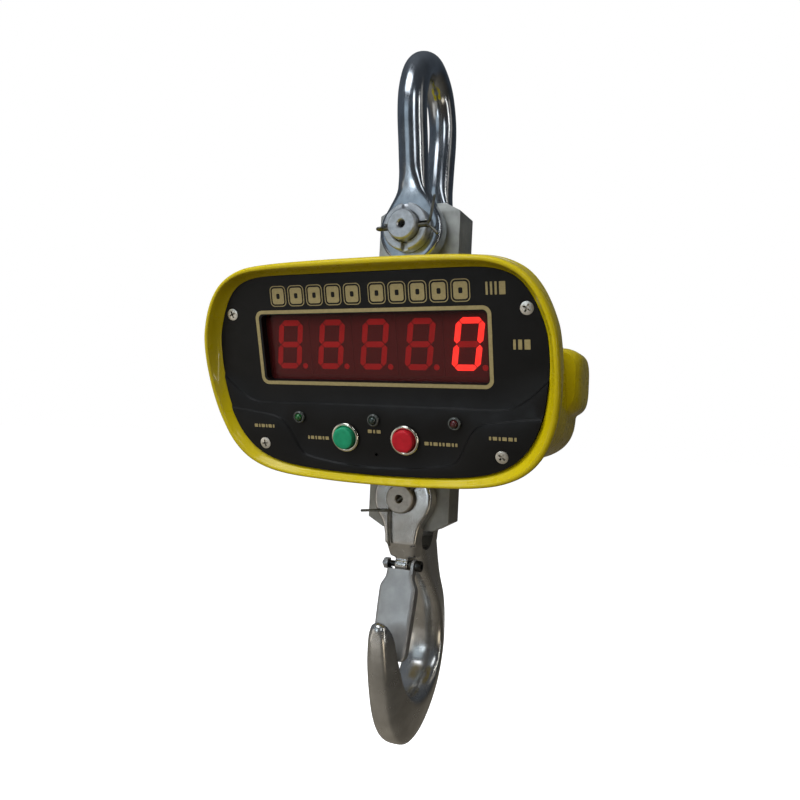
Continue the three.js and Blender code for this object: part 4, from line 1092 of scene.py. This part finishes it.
def build_buttons():
    ring = lathe([
        (7.1, -7), (7.75, -7), (7.75, 0), (9.0, 0), (9.2, 0.2), (9.2, 0.9), (9.05, 1.35), (8.6, 1.7),
        (8.1, 1.8), (7.55, 1.75), (7.2, 1.5), (7.1, 1.2), (7.1, -7)], 72)
    top = 4.8
    cap = lathe([
        (0, -4), (3, -4), (3, -2), (6.7, -2), (6.7, top - 0.9), (6.6, top - 0.5), (6.35, top - 0.15),
        (6.0, top), (4.0, top - 0.12), (0, top - 0.2)], 64)
    for colour, side, finish in (("green", -1, CAP_GREEN), ("red", 1, CAP_RED)):
        place = (side * BUTTON_X, BUTTON_W, LOWER_FACE)
        stand_in(f"button_bezel_{colour}", "ring", on_panel(ring, *place), RING_CHROME, "chrome")
        stand_in(f"button_cap_{colour}", "moulded", on_panel(cap, *place), finish, f"cap_{colour}",
                 f"button_{colour}")


# ---- printed marks ----

def printed(name, shapes):
    piece(name, on_panel(join_shapes(*shapes)), GOLD, "panel_black")


def bar_row(x0, x1, w, high, widths, gap):
    """A row of small blocks that fills x0 to x1, a hair above the panel."""
    grow = (x1 - x0) / (sum(widths) + gap * (len(widths) - 1))
    blocks, x = [], x0
    for width in widths:
        block = round_rect(x, x + width * grow, w - high / 2, w + high / 2, min(0.25, high / 4), 3)
        base = panel_height([block.mean(0)])[0]
        blocks.append(prism(block, base - 0.02, base + 0.08))
        x += (width + gap) * grow
    return blocks


def build_marks():
    pitch, wide = 12.7, 11.2
    for word, x0 in enumerate((-65.0, 1.8)):
        blocks = []
        for i in range(5):
            x = x0 + i * pitch
            end = x + wide
            rim = round_rect(x, end, 24.6, 37.2, 2.8, 5)
            rim_in = round_rect(x + 0.5, end - 0.5, 25.1, 36.7, 2.4, 5)
            body = round_rect(x + 1.5, end - 1.5, 26.1, 35.7, 1.6, 5)
            slot = round_rect(x + 4.4, end - 4.4, 29.3, 32.5, 0.7, 5)
            blocks += [plate_ring(rim, rim_in, -0.02, 0.08), plate_ring(body, slot, -0.02, 0.08)]
        printed(f"title_blocks_{word + 1}", blocks)
    printed("range_mark", bar_row(72.5, 83.5, 31.5, 7.0, (1.2, 1.2, 1.2, 3.4), 1.3))
    printed("unit_mark", bar_row(86.8, 96.2, 0.9, 5.4, (1.3, 2.0, 3.0), 1.2))
    labels = {
        "label_lamp_left": (-85.4, -70.4, -50.9, (2, 1, 2, 1, 2, 1)),
        "label_button_left": (-46.8, -32.0, -57.3, (1, 2, 1, 2, 1, 2)),
        "label_lamp_middle": (-4.5, 4.0, -51.5, (2, 1, 2)),
        "label_button_right": (32.0, 52.4, -57.2, (2, 1, 2, 1, 1, 2, 1, 1)),
        "label_lamp_right": (71.8, 87.6, -51.7, (1, 2, 1, 2, 2, 1)),
    }
    for name, (x0, x1, w, widths) in labels.items():
        printed(name, bar_row(x0, x1, w, 2.1, widths, 0.7))


# ---- hook ----

HOOK_INNER = [
    (-15.5, -109), (-12.5, -118), (-6, -128), (0, -139), (11, -152.5), (21, -167.5), (26, -186),
    (21.5, -204), (6, -215), (-12, -214.2), (-27, -202.5), (-35.6, -186), (-40, -170.4), (-44.6, -163.2)]
HOOK_OUTER = [
    (20.5, -108), (26.5, -119), (29.6, -131), (36, -144.5), (46.5, -161), (51.5, -181), (49.5, -205),
    (37, -229), (15, -247), (-11, -249.5), (-33.2, -232.5), (-44.6, -204), (-50.2, -177), (-50.4, -165.4)]
HOOK_INNER_HALF = (11, 11, 11.3, 12, 13.4, 14.3, 14.6, 14.5, 14, 13.6, 12.9, 11.3, 8.9, 5.4)
HOOK_OUTER_HALF = (11, 11, 11.2, 11, 10.5, 10, 9.6, 9.4, 9, 8.5, 7.9, 7.0, 6.1, 4.0)
# [share of the way out, share of the inner half width, share of the outer half width]
HOOK_SECTION = [(0, 0.3, 0), (0.06, 0.74, 0), (0.17, 0.97, 0), (0.34, 0.82, 0.18), (0.66, 0.3, 0.7),
                (0.86, 0, 0.92), (0.97, 0, 0.58)]
PIVOT = (0, -13.5, -131)
FORK_HALF = 20.4
SLOT_R, SLOT_BOTTOM = 10.1, -122


def hook_sweep():
    inner = spline(HOOK_INNER, 10)
    outer = spline(HOOK_OUTER, 10)
    half_in = spline(np.array(HOOK_INNER_HALF)[:, None], 10)[:, 0]
    half_out = spline(np.array(HOOK_OUTER_HALF)[:, None], 10)[:, 0]
    rows = np.array(HOOK_SECTION)
    loops = []
    for a, b, wi, wo in zip(inner, outer, half_in, half_out):
        middle = a + np.outer(rows[:, 0], b - a)
        half = wi * rows[:, 1] + wo * rows[:, 2]
        right = np.column_stack([half, middle])
        left = right[::-1] * (-1, 1, 1)
        loops.append(spline(np.concatenate([right, left]), 4, closed=True))
    return loft(loops)


def arc(r, z, degrees):
    return [(r * math.cos(math.radians(t)), z + r * math.sin(math.radians(t))) for t in degrees]


def hook_ears():
    round_end = arc(20.3, LOW_PIN_Z, range(-38, 219, 4))
    side = spline([(11, -117), (11.6, -110.5), (13.3, -104), round_end[0]], 5)[:-1]
    mirror = side[::-1] * (-1, 1)
    return upright(prism([*side.tolist(), *round_end, *mirror.tolist()], -FORK_HALF, FORK_HALF))


def hook_shoulder():
    rows = ((11.4, -FORK_HALF, FORK_HALF, -111), (11, -19.6, 21, -117.5), (9.2, -16.8, 25.5, -126))
    return loft([at_level(round_rect(-half_x, half_x, y0, y1, 4, 6), z) for half_x, y0, y1, z in rows])


def build_hook():
    web = box(-4.6, 4.6, -13.5, 4, -136, -123)
    knob = lathe([(0, -1), *[(math.cos(t), math.sin(t)) for t in np.linspace(-1.4, 1.4, 15)], (0, 1)], 40)
    tip = placed(knob, lambda x, y, z: (x * 5.8, y * 4.4 - 46.5, z * 5.6 - 167.2))
    hook = mesh_object("hook_forging", join_shapes(
        hook_sweep(), hook_ears(), hook_shoulder(), tip, along_x(rod(4.4, -4.6, 4.6), *PIVOT), web))
    melt(hook, 0.8, 9)
    round_bottom = arc(SLOT_R, SLOT_BOTTOM + SLOT_R, range(180, 361, 9))
    slot = along_x(prism([*round_bottom, (SLOT_R, -50), (-SLOT_R, -50)], -60, 60))
    bore = along_y(rod(LOW_BORE_R, -60, 60, 64), z=LOW_PIN_Z)
    boolean(hook, [slot, bore, along_x(rod(2.4, -60, 60, 32), *PIVOT)])
    finish_piece(hook, "hook", HOOK_CHROME, ["hook"], 42)


def build_hook_pin():
    front, back = -25.5, 21.0
    pin = lathe([
        (0, front + 10), (2.1, front + 10), (2.2, front + 1.2), (3.0, front), (8.6, front),
        (9.4, front + 0.8), (9.4, back), (12.3, back), (13, back + 0.7),
        (13, back + 4.6), (12.1, back + 5.5), (0, back + 5.5),
    ], 72)
    angle = math.radians(225)
    y, z = -22.8, LOW_PIN_Z
    cross = moved(turned_y(along_x(rod(1.65, -30, 30, 24)), angle), 0, y, z)
    stand_in("hook_pin", "turned", along_y(pin, z=z), PIN_STEEL, "zinc", "hook", cut=[cross])

    dx, dz = math.cos(angle), math.sin(angle)

    def at(along, side=0, up=0, back_by=0):
        return (dx * along + side, y + back_by, z + dz * along + up)

    left_leg = [(11,), (13.2, -2, 0.6), (13.4, -9, 0.4, -0.2), (13.4, -18.3, -0.6, -0.4)]
    lower_leg = [(11,), (12.2, 0.6, -3), (12.4, 1.2, -12, 0.2), (12.4, 2.2, -22.3, 0.4)]
    wire = split_pin(at, (-12.6, -4, 4, 12.4), 1.25, (-14.5, 2, 2, 28), 0.95, (left_leg, lower_leg), 0.86)
    stand_in("hook_cotter", "wire", wire, WIRE_STEEL, "steel", "hook", angle=50)


# ---- latch ----

LATCH_LEAN = math.radians(14)
SHEET_FRONT, SHEET, SHEET_BEND = -5.2, 1.8, 2.6


def leaning(shape):
    """A latch shape, drawn upright round the pivot, leaned towards the hook's tip."""
    c, s = math.cos(-LATCH_LEAN), math.sin(-LATCH_LEAN)
    return placed(shape, lambda x, y, z: (x, y * c - z * s + PIVOT[1], y * s + z * c + PIVOT[2]))


def channel(half, depth):
    """Section of a bent sheet channel that opens to the back."""
    depth = max(depth, SHEET + 0.01)
    bend_out = min(SHEET_BEND, depth * 0.7, half * 0.4)
    bend_in = max(bend_out - SHEET, 0.15)
    steps = np.linspace(0, math.pi / 2, 7)
    out_right = [(half - bend_out + bend_out * math.sin(t), SHEET_FRONT + bend_out - bend_out * math.cos(t))
                 for t in steps]
    cx, cy = half - SHEET - bend_in, SHEET_FRONT + SHEET + bend_in
    in_right = [(cx + bend_in * math.sin(t), cy - bend_in * math.cos(t)) for t in steps]
    back = SHEET_FRONT + depth
    outer = [*[(-x, y) for x, y in reversed(out_right)], *out_right]
    inner = [*reversed(in_right), *[(-x, y) for x, y in in_right]]
    back_in = max(back, cy + 0.01)
    return [(-half, back), *outer, (half, back), (half - SHEET, back_in), *inner, (-half + SHEET, back_in)]


def build_latch():
    rows = [  # height, half width, flange depth
        (-60.0, 10.0, 2.2), (-59.4, 11.0, 3.0), (-58.0, 11.7, 4.4), (-56.0, 12.0, 6.0), (-52, 12.1, 6.4),
        (-40, 12.45, 6.4), (-28, 12.8, 6.4), (-20, 12.9, 6.4), (-16, 12.85, 6.2), (-14, 12.4, 5.9),
        (-12, 11.4, 5.6), (-10, 10.3, 5.6), (-8, 9.6, 5.7), (-5, 9.4, 5.8), (-3.4, 9.4, 5.9),
    ]
    sheet = loft([at_level(channel(half, depth), z) for z, half, depth in spline(rows, 3)])
    body = mesh_object("hook_latch_sheet", leaning(sheet))
    ears = []
    for side in (1, -1):
        x0, x1 = sorted((side * 7.6, side * 9.4))
        ears += [leaning(along_x(flipped(rod(4.2, 7.6, 9.4), side))),
                 leaning(box(x0, x1, -4.6, 1.5, -6, 0))]
    boolean(body, ears, "UNION")
    boolean(body, [leaning(along_x(rod(2.4, -30, 30, 28)))])
    finish_piece(body, "latch", LATCH_STEEL, ["hook_latch"], 40)

    bolt = lathe([
        (0, -14.2), (1.6, -14.2), (2.0, -13.8), (2.0, 9.75), (3.3, 9.75), (3.6, 10.0), (3.6, 12.9),
        (3.3, 13.35), (1.75, 13.35), (1.7, 11.4), (0, 11.4)], 40)
    stand_in("latch_bolt", "turned", along_x(bolt, *PIVOT), DARK_STEEL, "steel", "latch")
    hexagon = [(3.9 * math.cos(t), 3.9 * math.sin(t)) for t in np.arange(6) * math.pi / 3]
    stand_in("latch_nut", "hex", along_x(prism(hexagon, -12.95, -9.75), *PIVOT), ZINC, "zinc", "latch",
             cut=[along_x(rod(2.3, -30, 30, 28), *PIVOT)], soft=0.3)

    turns, coil_r, wire_r = 3.0, 2.95, 0.34
    t = np.linspace(0, 1, 90)
    a = t * turns * 2 * math.pi
    coil = tube(np.column_stack([5.3 + t * 1.5, coil_r * np.cos(a), coil_r * np.sin(a)]), wire_r, 10)
    stand_in("latch_spring", "coil", moved(coil, *PIVOT), WIRE_STEEL, "steel", "latch", angle=60)


# ---- build ----

build_shackle()
build_load_cell()
build_front_case()
build_rear_case()
build_battery_cover()
build_case_trim()
build_panel()
build_panel_screws()
build_display()
build_lamps()
build_buttons()
build_marks()
build_hook()
build_hook_pin()
build_latch()

# The pieces inside the case keep their CAD shapes.
INSIDE = {
    "gauge_cover_front": ZINC, "gauge_cover_rear": ZINC, "case_bolt_upper": ZINC,
    "case_bolt_lower": ZINC, "panel_gasket": RUBBER, "display_board": BOARD, "main_board": BOARD,
    "switch_body_green": HOUSING, "switch_body_red": HOUSING, "battery_pack": BATTERY, "buzzer": HOUSING,
}
for name, finish in INSIDE.items():
    for material_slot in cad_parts[name].material_slots:
        material_slot.material = finish

# ---- studio ----

FLOOR_Z = -0.62


def build_floor():
    f = Finish("pale_floor", Roughness=0.9, Emission_Color=(1, 1, 1, 1), Emission_Strength=1.0)
    f.colour(f.ramp(f.noise(6), (0.86, 0.86, 0.86), (0.90, 0.90, 0.90)))
    size = 14.0
    mesh = bpy.data.meshes.new("floor")
    corners = [(-size, -size, FLOOR_Z), (size, -size, FLOOR_Z), (size, size, FLOOR_Z), (-size, size, FLOOR_Z)]
    mesh.from_pydata(corners, [], [(0, 1, 2, 3)])
    floor = bpy.data.objects.new("floor", mesh)
    mesh.materials.append(f.material)
    bpy.context.scene.collection.objects.link(floor)
    floor.visible_glossy = False
    floor.visible_diffuse = False


def build_world():
    """White to the camera. For light and reflections a dim room: warm below, cool above,
    and darker towards +X."""
    world = bpy.data.worlds.new("studio")
    bpy.context.scene.world = world
    world.use_nodes = True
    tree = world.node_tree
    tree.nodes.clear()
    out = add_node(tree, "OutputWorld")
    mix = add_node(tree, "MixShader")
    rays = add_node(tree, "LightPath")
    seen = add_node(tree, "Background", Color=(1, 1, 1, 1))
    room = add_node(tree, "Background")
    coords = add_node(tree, "TexCoord")
    split = add_node(tree, "SeparateXYZ")
    height = add_node(tree, "MapRange", From_Min=-1)
    side = add_node(tree, "MapRange", From_Min=-1, To_Min=1.25, To_Max=0.3)
    shade = add_node(tree, "ValToRGB")
    set_stops(shade, [
        (0.0, (0.32, 0.29, 0.24)), (0.36, (0.15, 0.135, 0.11)), (0.5, (0.09, 0.09, 0.09)),
        (0.62, (0.075, 0.09, 0.11)), (0.85, (0.10, 0.115, 0.135)), (1.0, (0.15, 0.165, 0.185))])
    link_all(tree, [
        (coords, "Generated", split, "Vector"), (split, "Z", height, "Value"), (split, "X", side, "Value"),
        (side, "Result", room, "Strength"), (height, "Result", shade, "Fac"),
        (shade, "Color", room, "Color"), (rays, "Is Camera Ray", mix, "Fac"),
        (room, "Background", mix, 1), (seen, "Background", mix, 2), (mix, "Shader", out, "Surface")])


MIDDLE = (0.0, -0.03, -0.22)
SHACKLE = (0.0, -0.03, -0.09)
HOOK = (0.0, -0.03, -0.38)
WHITE = (1, 1, 1)
# name, place, aim, size, power, colour
SOFTBOXES = [
    ("top_left", (-0.75, -0.95, 0.65), MIDDLE, (0.8, 0.7), 11, (0.93, 0.96, 1.0)),
    ("top", (0.45, -0.1, 1.15), MIDDLE, (1.3, 1.0), 5, (1.0, 0.99, 0.96)),
    ("front_fill", (-0.25, -1.9, 0.35), MIDDLE, (1.6, 1.3), 11, WHITE),
    ("left_strip", (-1.3, -0.15, 0.05), MIDDLE, (0.22, 1.3), 1.4, (0.92, 0.96, 1.0)),
    ("window", (-0.30, -0.78, 0.85), MIDDLE, (0.75, 0.6), 5.5, (0.90, 0.95, 1.0)),
    ("right_strip", (1.35, -0.35, 0.0), MIDDLE, (0.07, 1.3), 2.3, (1.0, 0.98, 0.93)),
    ("low_right", (0.9, -0.75, -0.75), HOOK, (0.5, 0.4), 1.1, (1.0, 0.86, 0.66)),
    ("low_left", (-1.0, -0.85, -0.45), HOOK, (0.5, 0.7), 0.8, (1.0, 0.95, 0.88)),
    ("low_front", (-0.51, -1.17, -0.78), HOOK, (0.9, 0.7), 0.6, (1.0, 0.97, 0.92)),
    ("bowl_light", (-0.25, -0.93, -0.255), HOOK, (0.16, 0.16), 0.42, (0.80, 0.91, 1.0)),
    ("shackle_streak", (0.66, -1.02, 0.36), SHACKLE, (0.20, 0.6), 1.3, (0.90, 0.95, 1.0)),
    ("shackle_card", (-0.55, -1.26, 0.10), SHACKLE, (0.7, 0.75), 1.0, (0.72, 0.88, 1.0)),
    ("warm_card", (1.15, 0.14, 0.35), SHACKLE, (0.22, 0.8), 0.3, (1.0, 0.93, 0.82)),
    ("back_edge", (-0.42, 1.45, -0.1), MIDDLE, (0.5, 1.4), 1.4, WHITE),
    ("back_top", (0.25, 1.2, 1.05), MIDDLE, (1.2, 0.8), 4.5, WHITE),
]
NOT_MIRRORED = {"top_left", "top", "front_fill", "left_strip", "back_top"}
ONLY_MIRRORED = {"right_strip", "low_left", "low_front", "bowl_light"}


def build_lights():
    for name, place, aim, size, power, colour in SOFTBOXES:
        light = bpy.data.lights.new(name, "AREA")
        light.shape = "RECTANGLE"
        light.size, light.size_y = size
        light.energy = power
        light.color = colour
        ob = bpy.data.objects.new(name, light)
        bpy.context.scene.collection.objects.link(ob)
        ob.location = place
        ob.rotation_euler = (Vector(aim) - Vector(place)).to_track_quat("-Z", "Y").to_euler()
        ob.visible_glossy = name not in NOT_MIRRORED
        ob.visible_diffuse = name not in ONLY_MIRRORED


def build_camera():
    right = Vector((0.91313, 0.40484, 0.04799))
    up = Vector((-0.02875, -0.05347, 0.99816))
    back = right.cross(up)
    camera = bpy.data.cameras.new("camera")
    camera.sensor_width = 36
    camera.lens = 33.09
    camera.clip_start = 0.01
    ob = bpy.data.objects.new("camera", camera)
    bpy.context.scene.collection.objects.link(ob)
    turn = Matrix((right, up, back)).transposed().to_4x4()
    ob.matrix_world = Matrix.Translation((0.195869, -0.463702, -0.240070)) @ turn
    bpy.context.scene.camera = ob


build_floor()
build_world()
build_lights()
build_camera()
bpy.context.scene.view_settings.view_transform = "Standard"
